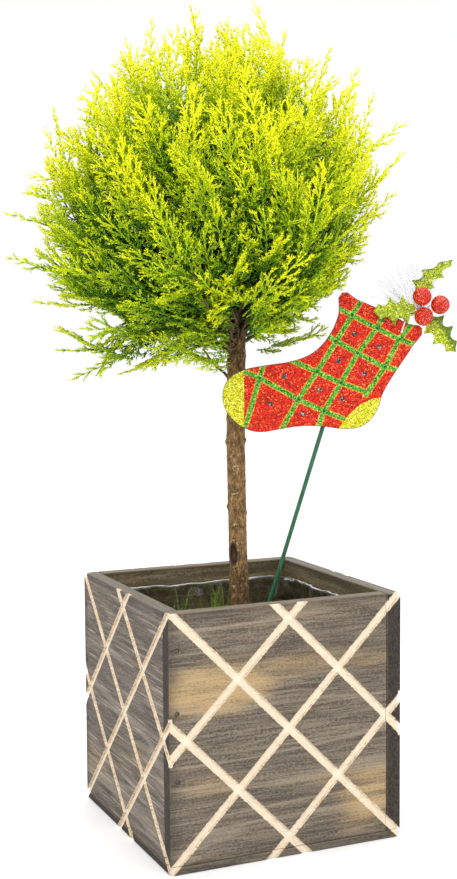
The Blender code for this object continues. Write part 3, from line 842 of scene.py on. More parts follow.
def moss_height(x, y):
    """Height of the mossy mound above its bed, in metres."""
    point = Vector((x, y, 0))
    humps, tufts = noise.fractal(point * 55, 1.0, 2.0, 3), noise.fractal(point * 260, 1.0, 2.0, 3)
    return humps * 0.0016 + tufts * 0.0009


class TREE_OT_moss(bpy.types.Operator):
    """Makes the moss bed, its strands and the wisps of grass in it"""

    bl_idname = "tree.moss"
    bl_label = "Moss"

    def execute(self, context):
        bottom, top = low("moss_bed"), high("moss_bed")
        half, ceiling = top.x - 0.0004, top.z - 0.0012
        heap = Heap()
        rings, ring = 46, rounded_square(half, 0.014, 40, 10)
        count = len(ring)
        levels, corners = np.linspace(1.0, 0.085, rings), []
        for share in levels:
            drop = 0.0045 * max(0.0, (share - 0.90) / 0.10) ** 2
            for x, y in ring * share:
                corners.append((x, y, ceiling - 0.0016 - drop + moss_height(x, y)))
        floor = [(x, y, bottom.z + 0.0001) for x, y in ring]
        hub = [(x, y, bottom.z + 0.0001) for x, y in ring * levels[-1]]
        corners = np.array(corners + floor + hub)
        faces = []
        for row in range(rings - 1):
            for i in range(count):
                a, b = row * count + i, row * count + (i + 1) % count
                faces += [(a, b, b + count), (a, b + count, a + count)]
        last, base, inner = (rings - 1) * count, rings * count, (rings + 1) * count
        for i in range(count):
            j = (i + 1) % count
            faces += [(base + i, base + j, j), (base + i, j, i)]
            faces += [(inner + i, last + j, inner + j), (inner + i, last + i, last + j)]
            faces += [(base + j, base + i, inner + i), (base + j, inner + i, inner + j)]
        heap.put((corners, np.array(faces)), lively=0.25)

        rng = np.random.default_rng(11)
        many = 5200
        spots = rng.uniform(-half * 0.97, half * 0.97, (many, 2))
        away = np.hypot(spots[:, 0], spots[:, 1])
        spots = spots[(away > 0.011) & (np.abs(spots).sum(1) < half * 1.78)]
        stand = np.array([ceiling - 0.0019 + moss_height(x, y) for x, y in spots])
        start = np.column_stack([spots, stand])
        lean = unit(rng.normal(0, 1, (len(start), 3)) * (1, 1, 0.25) + (0, 0, 0.55))
        long = rng.uniform(0.0016, 0.0042, len(start))
        stop = start + lean * long[:, None]
        stop[:, 2] = np.minimum(stop[:, 2], top.z + 0.0035)
        heap.put(spikes(start, stop, rng.uniform(0.0002, 0.0004, len(start)), rng.uniform(0, 6, len(start))),
                 lively=np.repeat(rng.uniform(0.1, 0.8, len(start)), 4))

        # Longer blades lie in the front left corner, against the film, and a few by the trunk.
        for middle, spread, number, reach in (
            ((-0.052, -0.040), 0.008, 30, 0.043),
            ((-0.0105, 0.004), 0.003, 30, 0.037),
            ((0.030, 0.040), 0.02, 12, 0.010),
            ((-0.040, 0.040), 0.015, 12, 0.012),
        ):
            for _ in range(number):
                x, y = rng.normal(middle, spread)
                x, y = max(-half * 0.93, min(half * 0.93, x)), max(-half * 0.93, min(half * 0.93, y))
                turn, tall = rng.uniform(0, math.tau), reach * rng.uniform(0.6, 1.1)
                flat = rng.uniform(0.08, 0.35) if reach > 0.03 else rng.uniform(0.3, 0.9)
                t = np.linspace(0, 1, 7)
                run = tall * flat * t**1.5
                path = np.column_stack([
                    np.clip(x + math.cos(turn) * run, -half * 0.97, half * 0.97),
                    np.clip(y + math.sin(turn) * run, -half * 0.97, half * 0.97),
                    ceiling - 0.002 + tall * (1 - 0.35 * flat) * np.sin(t * 1.9),
                ])
                heap.put(tube(path, 0.00038 * (1 - 0.85 * t), 4), lively=rng.uniform(0.35, 0.85))
        mesh = heap.mesh("moss_bed", smooth=False)
        material, tree = new_material("moss")
        lively = painted(tree, "lively")
        tone = plus(tree, lively, times(tree, minus(tree, grains(tree, place(tree), 500, 3), 0.5), 0.5))
        colour = ramp(
            tree, tone,
            (0.0, (0.018, 0.016, 0.008)), (0.3, (0.035, 0.05, 0.010)),
            (0.65, (0.11, 0.17, 0.015)), (1.0, (0.42, 0.50, 0.05)),
        )
        surface(tree, colour, span(tree, tone, 0, 1, 0.95, 0.65))
        add_piece("moss_bed_strands", mesh, "tree", "moss", ["moss_bed"], material)
        return {"FINISHED"}


# --- trunk ----------------------------------------------------------------------------------------

TRUNK_SHAPE = (             # height, drift sideways, radius
    (0.140, 0.0024, 0.0061), (0.172, 0.0017, 0.0057), (0.242, 0.0006, 0.0058), (0.300, 0.0015, 0.0056),
    (0.345, 0.0030, 0.0051), (0.385, 0.0022, 0.0046), (0.425, 0.0004, 0.0040),
)


def trunk_at(height):
    """The trunk's middle and radius at a height, before it is turned into place."""
    heights = [row[0] for row in TRUNK_SHAPE]
    side = np.interp(height, heights, [row[1] for row in TRUNK_SHAPE])
    return side, np.interp(height, heights, [row[2] for row in TRUNK_SHAPE])


KNOTS = (                   # height, angle round the trunk from sideways in degrees, size, rise
    (0.2413, -168, 0.0015, 0.0013), (0.2425, -12, 0.0015, 0.0011), (0.2261, -102, 0.0019, 0.0010),
    (0.2096, -106, 0.0018, 0.0009), (0.1887, -112, 0.0019, 0.0010), (0.2005, 176, 0.0014, 0.0010),
    (0.1965, 4, 0.0014, 0.0009), (0.2640, -80, 0.0022, 0.0010), (0.2180, -50, 0.0014, 0.0006),
    (0.1900, 60, 0.0020, 0.0009), (0.2300, 110, 0.0020, 0.0009), (0.2560, 150, 0.0020, 0.0010),
    (0.2900, -150, 0.0026, 0.0013), (0.2960, -40, 0.0026, 0.0012), (0.3060, -95, 0.0024, 0.0011),
    (0.1560, -20, 0.0018, 0.0007), (0.1500, -120, 0.0018, 0.0007), (0.3150, 20, 0.0026, 0.0012),
    (0.2830, -70, 0.0024, 0.0012), (0.2750, 170, 0.0024, 0.0013), (0.3190, -120, 0.0026, 0.0012),
)
SCAR = (0.1705, -122, 0.0074, 0.0028)   # height, angle, half height, half width of the old cut


def turned_from(angle, bearing):
    """The turn to an angle in radians from a bearing in degrees, by the shorter way."""
    return (angle - math.radians(bearing) + math.pi) % math.tau - math.pi


class TREE_OT_trunk(bpy.types.Operator):
    """Makes the trunk with its fissured bark, knots and scar"""

    bl_idname = "tree.trunk"
    bl_label = "Trunk"

    def execute(self, context):
        foot, crest = low("trunk").z + 0.0002, high("trunk").z
        soil = high("moss_bed").z - 0.001
        rows, sides = 420, 72
        heights = np.linspace(foot, crest, rows)
        angles = np.arange(sides) * math.tau / sides
        corners, cracks, scars, buds = [], [], [], []
        for z in heights:
            middle, radius = trunk_at(z)
            free = min(1.0, max(0.0, (z - soil) / 0.004))
            in_head = min(1.0, max(0.0, (z - 0.276) / 0.02))
            near_soil = min(1.0, max(0.0, (0.165 - z) / 0.02))
            coarse = 1.0 + 0.9 * in_head + 0.4 * near_soil
            for a in angles:
                flat = Vector((math.cos(a), math.sin(a), 0))
                point = Vector((flat.x * 2.4, flat.y * 2.4, z * 210))
                ridge = noise.fractal(point, 0.9, 2.1, 4)
                flake = noise.fractal(point * 2.6 + Vector((3, 1, 7)), 0.9, 2.0, 3)
                push = free * coarse * (0.00022 * ridge + 0.00019 * flake)
                bud = 0.0
                for height, bearing, size, rise in KNOTS:
                    turn = turned_from(a, bearing)
                    far = ((z - height) / size) ** 2 + (turn * radius / size) ** 2
                    if far < 6:
                        push += rise * math.exp(-far) * (1 - 0.5 * math.exp(-far * 7))
                        bud = max(bud, math.exp(-far * 1.3))
                height, bearing, tall, wide = SCAR
                turn = turned_from(a, bearing)
                far = math.hypot((z - height) / tall, turn * radius / wide)
                push += 0.0007 * math.exp(-((far - 1.2) ** 2) * 9) - 0.0020 * max(0.0, 1 - far)
                across_now = radius + push
                bud = max(bud, 0.75 * math.exp(-((far - 1.22) ** 2) * 22))
                corners.append((middle + flat.x * across_now, flat.y * across_now, z))
                cracks.append(ridge * 0.6 + flake * 0.5)
                scars.append(max(0.0, min(1.0, (1.10 - far) * 4)) * (0.72 + 0.28 * min(1.0, far * 1.4)))
                buds.append(bud)
        corners = np.array(corners) @ TURN3.T
        faces = []
        for row in range(rows - 1):
            for i in range(sides):
                a, b = row * sides + i, row * sides + (i + 1) % sides
                faces.append((a, b, b + sides, a + sides))
        faces.append(tuple(reversed(range(sides))))
        faces.append(tuple(range((rows - 1) * sides, rows * sides)))
        mesh = mesh_of("trunk", corners, faces, smooth=True)
        for key, values in (("crack", cracks), ("scar", scars), ("bud", buds)):
            paint(mesh, key, values)
        add_piece("trunk_bark", mesh, "tree", "bark", ["trunk"], bark_material())
        return {"FINISHED"}


def bark_material():
    """Fissured golden-brown bark, darker and rougher up in the head."""
    material, tree = new_material("bark")
    at = place(tree)
    long = grains(tree, stretched(tree, at, (1, 1, 0.45)), 620, 4, 0.7, 0.3)
    specks = grains(tree, stretched(tree, at, (1, 1, 0.75)), 1050, 4, 0.8)
    flecks = cells_of(tree, stretched(tree, at, (1, 1, 0.6)), 900.0)["Distance"]
    tone = plus(tree, times(tree, painted(tree, "crack"), 0.30), long)
    tone = plus(tree, tone, times(tree, minus(tree, specks, 0.5), 0.9))
    colour = ramp(
        tree, tone,
        (0.20, (0.040, 0.019, 0.007)), (0.40, (0.135, 0.072, 0.026)),
        (0.60, (0.255, 0.150, 0.055)), (0.92, (0.50, 0.35, 0.155)),
    )
    height = node(tree, "ShaderNodeSeparateXYZ", {0: at}).outputs[2]
    rough_ends = most(tree, span(tree, height, 0.268, 0.300), span(tree, height, 0.168, 0.152))
    darker = ramp(
        tree, tone,
        (0.25, (0.030, 0.016, 0.008)), (0.55, (0.12, 0.065, 0.026)), (0.80, (0.40, 0.26, 0.09)),
    )
    colour = blend(tree, times(tree, rough_ends, 0.75), colour, darker)
    colour = blend(tree, span(tree, flecks, 0.62, 0.85, 0.0, 0.5), colour, (0.045, 0.022, 0.010, 1))
    bud = painted(tree, "bud")
    pale = span(tree, plus(tree, specks, times(tree, bud, 0.16)), 0.60, 0.68, 0.0, 0.85)
    colour = blend(tree, pale, colour, (0.60, 0.43, 0.22, 1))
    hollow = times(tree, span(tree, bud, 0.15, 0.5), span(tree, specks, 0.56, 0.46, 0.0, 0.9))
    colour = blend(tree, hollow, colour, (0.05, 0.025, 0.012, 1))
    colour = blend(tree, painted(tree, "scar"), colour, (0.028, 0.012, 0.005, 1))
    surface(tree, colour, span(tree, long, 0.2, 0.8, 0.9, 0.6), tone, 0.0004, 0.9, Specular_IOR_Level=0.3)
    return material


# --- foliage --------------------------------------------------------------------------------------

SHAPE_LENGTH = 0.060                             # of a plume before it is placed
SHOOT_STEP = 0.0016                              # between the pairs of needles on a side shoot
MOST_LOST = 0.35                                 # share cut away before a plume is left out
HEAD_MIDDLE = np.array((-0.010, 0.0, 0.385))     # sideways, back, up
GROWTH_MIDDLE = np.array((0.003, 0.0, 0.324))    # where the boughs spring from
OUTLINE = (                 # angle round the head seen from the front in degrees, distance in millimetres
    (0, 100), (30, 110), (60, 109), (90, 116), (120, 115), (150, 112), (180, 122), (205, 121), (225, 124),
    (245, 107), (270, 97), (290, 94), (306, 99), (320, 100), (332, 97), (345, 98), (360, 100),
)
UNDERSIDE = (               # place sideways, and the lowest height for tips there, in millimetres
    (-120, 284), (-100, 280), (-60, 286), (-30, 300), (-8, 322), (12, 318), (30, 308), (52, 304),
    (66, 318), (80, 345), (100, 360),
)
BOUGHS = (                  # height on the trunk, end (sideways, back, up) and thickness, in mm
    (278, (-20, 6, 300), 1.1), (296, (-34, -8, 322), 1.6), (301, (28, 8, 322), 1.3),
    (310, (22, -14, 340), 1.5), (305, (-16, -22, 336), 1.4), (290, (-10, 24, 322), 1.5),
    (318, (14, 22, 350), 1.5), (322, (-24, 12, 356), 1.7), (330, (20, 6, 372), 1.7),
    (340, (-16, -8, 384), 1.6), (352, (12, -10, 396), 1.4), (362, (-8, 10, 408), 1.4),
)
DEPTH_REACH = 0.106         # how far the head comes forward and goes back
LOOSE_BELOW, LOOSE_SHARE = 0.338, 0.72      # the lowest boughs grow further apart
TRUNK_WINDOW = (0.0035, 0.0080, 0.329, 0.004)   # where the trunk shows: middle, half width, top, back
WISPS = (                   # long shoots that stand out of the outline: sideways, up, back, in mm
    (-26, 512, 5), (-22, 505, -20), (13, 511, -8), (8, 503, 14), (-66, 492, 0), (-110, 448, -10),
    (-118, 440, 12), (-143, 386, 4), (-140, 358, -12), (-103, 281, -8), (-74, 284, 10), (63, 338, 12),
    (107, 421, 0), (105, 437, -14), (88, 459, 6), (60, 484, -5), (-88, 474, 8), (34, 497, 2),
    (102, 398, 10), (-128, 408, -6), (-48, 500, -14), (76, 472, -12), (-128, 330, 14), (-90, 305, -20),
    (-2, 498, -26), (-55, 290, -30), (30, 303, 4), (26, 312, -12), (50, 327, 6), (-38, 292, 8),
    (-84, 283, -6), (-60, 287, 4), (-112, 300, -4), (-20, 299, 2), (-31, 301, -8), (-45, 291, -4),
)


def head_reach(direction):
    """How far the head reaches from its middle in each direction."""
    angle = np.degrees(np.arctan2(direction[:, 2], direction[:, 0])) % 360
    seen = np.interp(angle, [row[0] for row in OUTLINE], [row[1] * MM for row in OUTLINE])
    share = direction[:, 0] ** 2 + direction[:, 2] ** 2
    return seen * share + DEPTH_REACH * (1 - share)


def plume_shape(rng, reach, fullness, fine):
    """One plume along +X: the spikes of its stems and needles, as arrays (base, tip, width, age)."""
    needle = settings("foliage").needle
    base, tip, width, age = [], [], [], []

    def shoot(start, heading, side, length, stem, first_age, last_age, step):
        """A stem and the crossed pairs of needles on it. It curls towards +X."""
        curl = (np.array((1.0, 0, 0)) - heading) * 0.45

        def at(t):
            t = np.asarray(t, float)[..., None]
            return start + length * (heading * t + curl * t * t / 2)

        pairs = max(2, int(length / step))
        t = (np.arange(pairs) + 0.5) / pairs
        along = unit(heading + curl * t[:, None])
        other = unit(np.cross(along, side))
        cross_way = (np.arange(pairs) % 2).astype(bool)[:, None]
        out = np.where(cross_way, other, side)
        for sign in (1, -1):
            tilt = np.radians(31 - 10 * t**2 + rng.normal(0, 5, pairs))[:, None]
            way = unit(along * np.cos(tilt) + sign * out * np.sin(tilt) + rng.normal(0, 0.05, (pairs, 3)))
            size = needle * (0.85 + 0.3 * rng.random(pairs)) * (1 - 0.35 * t**3)
            origin = at(t)
            base.append(origin)
            tip.append(origin + way * size[:, None])
            width.append(size * 0.24)
            age.append(first_age + (last_age - first_age) * t)
        parts = max(1, int(length / 0.006))
        edge = np.linspace(0, 1, parts + 1)
        base.append(at(edge[:-1]))
        tip.append(at(np.minimum(edge[1:] + 0.25 / parts, 1.0 + 0.6 * needle / length)))
        width.append(stem * (1 - 0.6 * edge[:-1]))
        age.append(first_age + (last_age - first_age) * edge[:-1] - 0.06)
        return at

    main = shoot(np.zeros(3), np.eye(3)[0], np.eye(3)[1], reach, 0.00070, 0.0, 0.95, 0.0017)
    spot, turn, sign = reach * 0.10, 0.0, 1
    while spot < reach * 0.95:
        share = spot / reach
        length = fullness * min(1.0, share / 0.30 + 0.35) * (1 - share) ** 0.62 + 0.0022
        length *= rng.uniform(0.72, 1.15)
        roll = turn + rng.normal(0, 0.25) + (0.0 if rng.random() < 0.85 else rng.uniform(0.6, 1.4))
        side = sign * np.array((0, math.cos(roll), math.sin(roll)))
        tilt = math.radians(rng.uniform(42, 54) - 10 * share)
        heading = np.array((math.cos(tilt), 0, 0)) + side * math.sin(tilt)
        level = np.array((0, -math.sin(roll), math.cos(roll)))
        first = 0.02 + 0.50 * share
        last = min(1.0, first + 0.55)
        limb = shoot(main(share), heading, level, length, 0.00055, first, last, SHOOT_STEP)
        if fine and length > 0.0065:
            swing = sign
            for place_on in np.arange(0.0036 / length, 0.86, 0.0034 / length):
                swing = -swing
                branch = unit(heading + swing * np.cross(heading, level) * 0.85 + rng.normal(0, 0.08, 3))
                older = first + 0.45 * place_on
                twiglet = 0.0018 + length * 0.36 * (1 - place_on) ** 0.8
                newer = min(1.0, older + 0.40)
                shoot(limb(place_on), branch, level, twiglet, 0.00042, older, newer, SHOOT_STEP)
        sign = -sign
        spot += reach * rng.uniform(0.050, 0.068)
        turn += rng.normal(0, 0.12)
    return np.concatenate(base), np.concatenate(tip), np.concatenate(width), np.concatenate(age)


def planted(tips, ways, shapes, lengths, rng):
    """Places one plume for each tip: (plume number, base, tip, width, age) of all their spikes."""
    rows = []
    for i, (end, way) in enumerate(zip(tips, ways, strict=True)):
        base, tip, width, age = shapes[i % len(shapes)]
        level = unit(np.cross(end - HEAD_MIDDLE + (0, 0, 0.001), way))
        roll = rng.normal(0, 0.30)
        a = math.cos(roll) * level + math.sin(roll) * np.cross(way, level)
        b = np.cross(way, a)
        scale = lengths[i] / SHAPE_LENGTH
        bow = (rng.normal(0, 0.13) * a + rng.normal(0, 0.13) * b + (0, 0, 0.06)) / SHAPE_LENGTH
        place_on = np.stack([way, a, b])

        def put(points):
            return (points @ place_on) * scale + bow * (points[:, :1] ** 2) * scale

        origin = end - put(np.array([(SHAPE_LENGTH, 0, 0)]))
        width = width * (0.5 + 0.5 * scale)
        rows.append((np.full(len(base), i), origin + put(base), origin + put(tip), width, age))
    return [np.concatenate(column) for column in zip(*rows, strict=True)]


def even_directions(count, rng, spread):
    """Directions spread evenly over a ball, each moved a little."""
    i = np.arange(count) + 0.5
    up, turn = 1 - 2 * i / count, i * math.pi * (1 + 5**0.5)
    flat = np.sqrt(1 - up**2)
    found = np.column_stack([flat * np.cos(turn), flat * np.sin(turn), up])
    return unit(found + rng.normal(0, spread, found.shape))


def bough_ways(tips, rng):
    """The way each plume grows: away from where the boughs spring, turned up towards the light."""
    ways = unit((tips - GROWTH_MIDDLE) * (1, 0.6, 1))
    lift = np.interp(tips[:, 2], (0.29, 0.33, 0.40, 0.48), (-0.12, 0.00, 0.08, 0.30))
    return unit(ways + lift[:, None] * (0, 0, 1) + rng.normal(0, 0.13, tips.shape))


def clear_of_pick(points, spare=1.4):
    """True for each point that leaves spare millimetres round the pick, there and as it is pulled out."""
    local = points @ TURN3.T
    at = local @ np.array(PICK_BACK.to_3x3()).T + np.array(PICK_BACK.translation)
    x, y, z = at.T / MM
    over_board, depth = (x > -69) & (x < 44), (y > -2.6 - spare) & (y < 3.6 + spare)
    board = over_board & depth & (z > -18) & (z < 140)
    in_front = over_board & (y <= -4) & (z > -22) & (z < 84) & (x - 0.55 * z > -62)
    depth = (y > -18.6 - spare) & (y < 10.6 + spare)
    trim = (x > 5.4 - spare) & (x < 68) & depth & (z > 60) & (z < 140)
    stick = (np.abs(x) < 4) & (np.abs(y) < 5) & (z < 0)
    return ~(board | in_front | trim | stick)


def bowed(start, bend, stop, t, waver, rng):
    """A path from start to stop, drawn towards bend, that wavers a little between its ends."""
    path = (1 - t) ** 2 * start + 2 * t * (1 - t) * bend + t**2 * stop
    path[1:-1] += rng.normal(0, waver, path[1:-1].shape)
    return path


class TREE_OT_foliage(bpy.types.Operator):
    """Makes the twenty-two boughs of needled plumes"""

    bl_idname = "tree.foliage"
    bl_label = "Foliage"

    def execute(self, context):
        chosen = settings("foliage")
        rng = np.random.default_rng(5)
        full = [plume_shape(rng, SHAPE_LENGTH, 0.0235, True) for _ in range(9)]
        slim = [plume_shape(rng, SHAPE_LENGTH, 0.0125, True) for _ in range(5)]
        plain = [plume_shape(rng, SHAPE_LENGTH, 0.0220, False) for _ in range(6)]

        batches = []
        for count, near, far, shapes, length, spread in (
            (chosen.outer, 0.90, 1.02, full, chosen.plume, 0.05),
            (chosen.middle, 0.74, 0.90, full, chosen.plume * 0.9, 0.08),
            (chosen.inner, 0.45, 0.70, plain, chosen.plume * 0.8, 0.10),
        ):
            ways = even_directions(count, rng, spread)
            reach = head_reach(ways) * rng.uniform(near, far, count)
            tips = HEAD_MIDDLE + ways * reach[:, None]
            floor = np.interp(tips[:, 0] / MM, *zip(*UNDERSIDE, strict=True)) * MM
            keep = (tips[:, 2] > floor) & clear_of_pick(tips)
            keep &= (tips[:, 2] > LOOSE_BELOW) | (rng.random(count) < LOOSE_SHARE)
            tips = tips[keep]
            ways, lengths = bough_ways(tips, rng), length * rng.uniform(0.8, 1.2, len(tips))
            batches.append((tips, ways, shapes, lengths))
        tips = np.array([(side, back, up) for side, up, back in WISPS]) * MM
        batches.append((tips, bough_ways(tips, rng), slim, rng.uniform(0.058, 0.078, len(tips))))
        batches = [
            (tips, ways, shapes, np.minimum(lengths, 0.93 * np.linalg.norm(tips - GROWTH_MIDDLE, axis=1)))
            for tips, ways, shapes, lengths in batches
        ]

        names = sorted(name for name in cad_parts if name.startswith("spray_"))
        middles = np.array([(low(name) + high(name)) / 2 for name in names]) @ TURN3
        aims = unit(middles - HEAD_MIDDLE)
        heaps = {name: Heap() for name in names}
        material = foliage_material()
        for tips, ways, shapes, lengths in batches:
            which, base, tip, width, age = planted(tips, ways, shapes, lengths, rng)
            keep = clear_of_pick(base, 0.3) & clear_of_pick(tip, 0.3)
            keep &= clear_of_pick(0.5 * (base + tip), 0.3)
            lost = np.bincount(which, ~keep) / np.bincount(which)
            keep &= lost[which] < MOST_LOST
            middle, half, top, back = TRUNK_WINDOW
            keep &= ~((np.abs(tip[:, 0] - middle) < half) & (tip[:, 2] < top) & (tip[:, 1] < back))
            depth = np.linalg.norm(tip - HEAD_MIDDLE, axis=1) / head_reach(unit(tip - HEAD_MIDDLE))
            keep &= (age > 0.25) | (depth < 0.90)        # no bare stem hangs outside
            which, base, tip, width, age, depth = (a[keep] for a in (which, base, tip, width, age, depth))
            # Each needle's tone: yellower towards the tips of its shoots (age); darker inside the head, partly
            # older growth and partly painted shade; lighter towards the top and darker low down, painted
            # light; and a little random.
            tone_and_painted_light = (
                -0.20
                + 0.56 * np.clip((depth - 0.5) / 0.5, 0, 1.1)
                + 0.66 * age
                + 0.37 * np.clip((tip - HEAD_MIDDLE)[:, 2] / 0.115, -0.26, 1)
                + rng.normal(0, 0.08, len(tips))[which]
                + rng.normal(0, 0.05, len(tip))
            )
            roots = tips - ways * lengths[:, None]
            cells = np.argmax(unit(0.5 * (tips + roots) - HEAD_MIDDLE) @ aims.T, axis=1)
            for cell, name in enumerate(names):
                mine = cells[which] == cell
                if mine.any():
                    turned = base[mine] @ TURN3.T, tip[mine] @ TURN3.T
                    shape = spikes(*turned, width[mine], rng.uniform(0, 6, mine.sum()))
                    heaps[name].put(shape, tone_and_painted_light=np.repeat(np.clip(tone_and_painted_light[mine], 0, 1), 4), woody=0.0)
                held = (cells == cell) & (lost < MOST_LOST)
                for root, way in zip(roots[held], ways[held], strict=True):
                    self.twig(heaps[name], root, way, rng)
        for start, stop, thick in BOUGHS:
            stop = np.array(stop) * MM
            side, _ = trunk_at(start * MM)
            t = np.linspace(0, 1, 10)[:, None]
            foot = np.array((side, 0, start * MM))
            bend = foot + (stop - foot) * (0.55, 0.55, 0.40)
            path = bowed(foot, bend, stop, t, 0.00025, rng)
            name = names[int(np.argmax(unit(stop - HEAD_MIDDLE) @ aims.T))]
            radii = np.linspace(thick, thick * 0.5, 10) * MM
            heaps[name].put(tube(path @ TURN3.T, radii, 7), tone_and_painted_light=0.3, woody=1.0)
        for name in names:
            mesh = heaps[name].mesh(name + "_plumes", smooth=True)
            add_piece(name + "_plumes", mesh, "tree", "foliage", [name], material)
        return {"FINISHED"}

    def twig(self, heap, root, way, rng):
        """A twig from the trunk to a plume's root."""
        rise = np.clip(0.302 + 0.32 * (root[2] - 0.300), 0.296, 0.415)
        side, _ = trunk_at(rise)
        start = np.array((side, 0, rise))
        if np.linalg.norm(root - start) < 0.012:
            return
        t = np.linspace(0, 1, 8)[:, None]
        out = start + (root - start) * 0.55 - (0, 0, 0.006)
        path = np.vstack([bowed(start, out, root, t, 0.0007, rng), root + way * 0.004])
        radius = np.interp(np.linspace(0, 1, len(path)), (0, 1), (0.0010, 0.0005))
        if not clear_of_pick(path).all():
            return
        heap.put(tube(path @ TURN3.T, radius, 5), tone_and_painted_light=0.2, woody=1.0)


def foliage_material():
    """Needles from deep green inside the head to lemon at its tips, and brown twigs; the stored tone holds
    painted shade inside and low in the head and painted light towards its top.
    """
    chosen = settings("foliage")
    material, tree = new_material("needles")
    drift = minus(tree, grains(tree, place(tree), 160, 2), 0.5)
    # The stored tone already holds painted shade inside the head and painted light at its top.
    tone_and_painted_light = plus(tree, painted(tree, "tone_and_painted_light"), times(tree, drift, 0.18))
    colour = ramp(
        tree, tone_and_painted_light,
        (0.05, chosen.deep), (0.32, chosen.green), (0.62, chosen.lime), (0.90, chosen.tip),
    )
    colour = blend(tree, painted(tree, "woody"), colour, (*chosen.twig, 1))
    surface(tree, colour, span(tree, tone_and_painted_light, 0, 1, 0.7, 0.5), Specular_IOR_Level=0.25)
    return material


# --- pick -----------------------------------------------------------------------------------------


def in_pick(points):
    """Points given in the pick's own directions, put into the frame."""
    return np.asarray(points) @ np.array(PICK.to_3x3()).T + np.array(PICK.translation)


def board_outline():
    """The stocking board's outline in the pick's own directions, and the depths of its front and back."""
    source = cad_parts["stocking_board"].data
    work = bmesh.new()
    work.from_mesh(source)
    bmesh.ops.remove_doubles(work, verts=work.verts, dist=1e-6)
    bmesh.ops.transform(work, matrix=PICK_BACK, verts=work.verts)
    front, back = min(v.co.y for v in work.verts), max(v.co.y for v in work.verts)
    work.verts.index_update()
    edges = {}
    for face in work.faces:
        if abs(face.calc_center_median().y - front) < 1e-5:
            for loop in face.loops:
                a, b = loop.vert.index, loop.link_loop_next.vert.index
                if (b, a) in edges:
                    del edges[(b, a)]
                else:
                    edges[(a, b)] = True
    follow = dict(edges.keys())
    start = next(iter(follow))
    loop, now = [start], follow[start]
    work.verts.ensure_lookup_table()
    while now != start:
        loop.append(now)
        now = follow[now]
    outline = np.array([(work.verts[i].co.x, work.verts[i].co.z) for i in loop])
    work.free()
    return outline, front, back


def inside(points, outline):
    """True for each point inside a closed outline."""
    x, z = points[:, 0][:, None], points[:, 1][:, None]
    x0, z0 = outline.T
    x1, z1 = np.roll(outline, -1, axis=0).T
    crossing = (z0 > z) != (z1 > z)
    with np.errstate(divide="ignore", invalid="ignore"):
        meets = x < (x1 - x0) * (z - z0) / (z1 - z0) + x0
    return (crossing & meets).sum(axis=1) % 2 == 1


def nearest_on(points, line, closed=False):
    """The nearest points on a line of straight stretches, and how far away they are."""
    start = line if closed else line[:-1]
    stop = np.roll(line, -1, axis=0) if closed else line[1:]
    run = stop - start
    along = np.einsum("ijk,jk->ij", points[:, None] - start[None], run)
    share = along / np.maximum((run**2).sum(1), 1e-15)
    found = start[None] + np.clip(share, 0, 1)[..., None] * run[None]
    away = np.linalg.norm(points[:, None] - found, axis=2)
    best = away.argmin(axis=1)
    rows = np.arange(len(points))
    return found[rows, best], away[rows, best]


CHECKS = (                  # green lines on the stocking, in millimetres from where the stick meets the sole
    ((-0.5, 81), (-7.6, 54), (-13.3, 33.5), (-19.0, 15), (-24.2, -8)),
    ((16, 82), (13.7, 69), (6.5, 49.5), (2.6, 31), (-2.6, 10.7), (-3, 0)),
    ((34, 79), (31.9, 74), (28.4, 65), (25.3, 48), (19, 28)),
    ((-44.6, 33), (-45.8, 27.5), (-45.4, -7), (-45.8, -14)),
    ((-13, 73.5), (12, 68.7), (28, 66), (41, 65.4)),
    ((-14, 55.5), (6.7, 50.8), (23.5, 47.6), (33, 48)),
    ((-31, 35.2), (-14.5, 33), (0.8, 30.7), (19, 29.8)),
    ((-56, 20.4), (-47, 19.6), (-35.7, 17.3), (-20, 13.7), (-4, 11.5), (10, 10.2)),
)
GEMS = (
    (1.6, 61.2), (18.4, 58.1), (-2.9, 42.9), (14.5, 39.8), (-8.8, 22.8), (6.2, 21.5), (-31.6, 24.8),
    (-34.6, 6.2), (-14.2, 5.9),
)
TOE_EDGE = ((-57.0, 24), (-53.2, 12), (-49.6, 0), (-45.8, -14))
HEEL_EDGE = ((31.5, 30.5), (24, 27.2), (17.5, 21.6), (12.3, 13), (8.4, 2))


def edge_at(heights, edge):
    """How far sideways an edge of the yellow runs at each height."""
    sideways, up = np.array(edge[::-1]).T * MM
    return np.interp(heights, up, sideways)


def dome(radius, rise, facets):
    """A faceted dome on the XZ plane that bulges towards -Y, closed below."""
    corners, faces = [], []
    levels = ((1.0, 0.0), (0.82, 0.55), (0.45, 0.9))
    for ring, (share, up) in enumerate(levels):
        for i in range(facets):
            angle = (i + 0.5 * (ring % 2)) * math.tau / facets
            out = radius * share
            corners.append((out * math.cos(angle), -rise * up, out * math.sin(angle)))
    corners += [(0, -rise, 0), (0, 0.0003, 0)]
    top, bottom = len(corners) - 2, len(corners) - 1
    for ring in range(len(levels) - 1):
        for i in range(facets):
            a, b = ring * facets + i, ring * facets + (i + 1) % facets
            faces += [(a, b, b + facets), (a, b + facets, a + facets)]
    last = (len(levels) - 1) * facets
    for i in range(facets):
        j = (i + 1) % facets
        faces += [(last + i, last + j, top), (j, i, bottom)]
    return np.array(corners), np.array(faces)


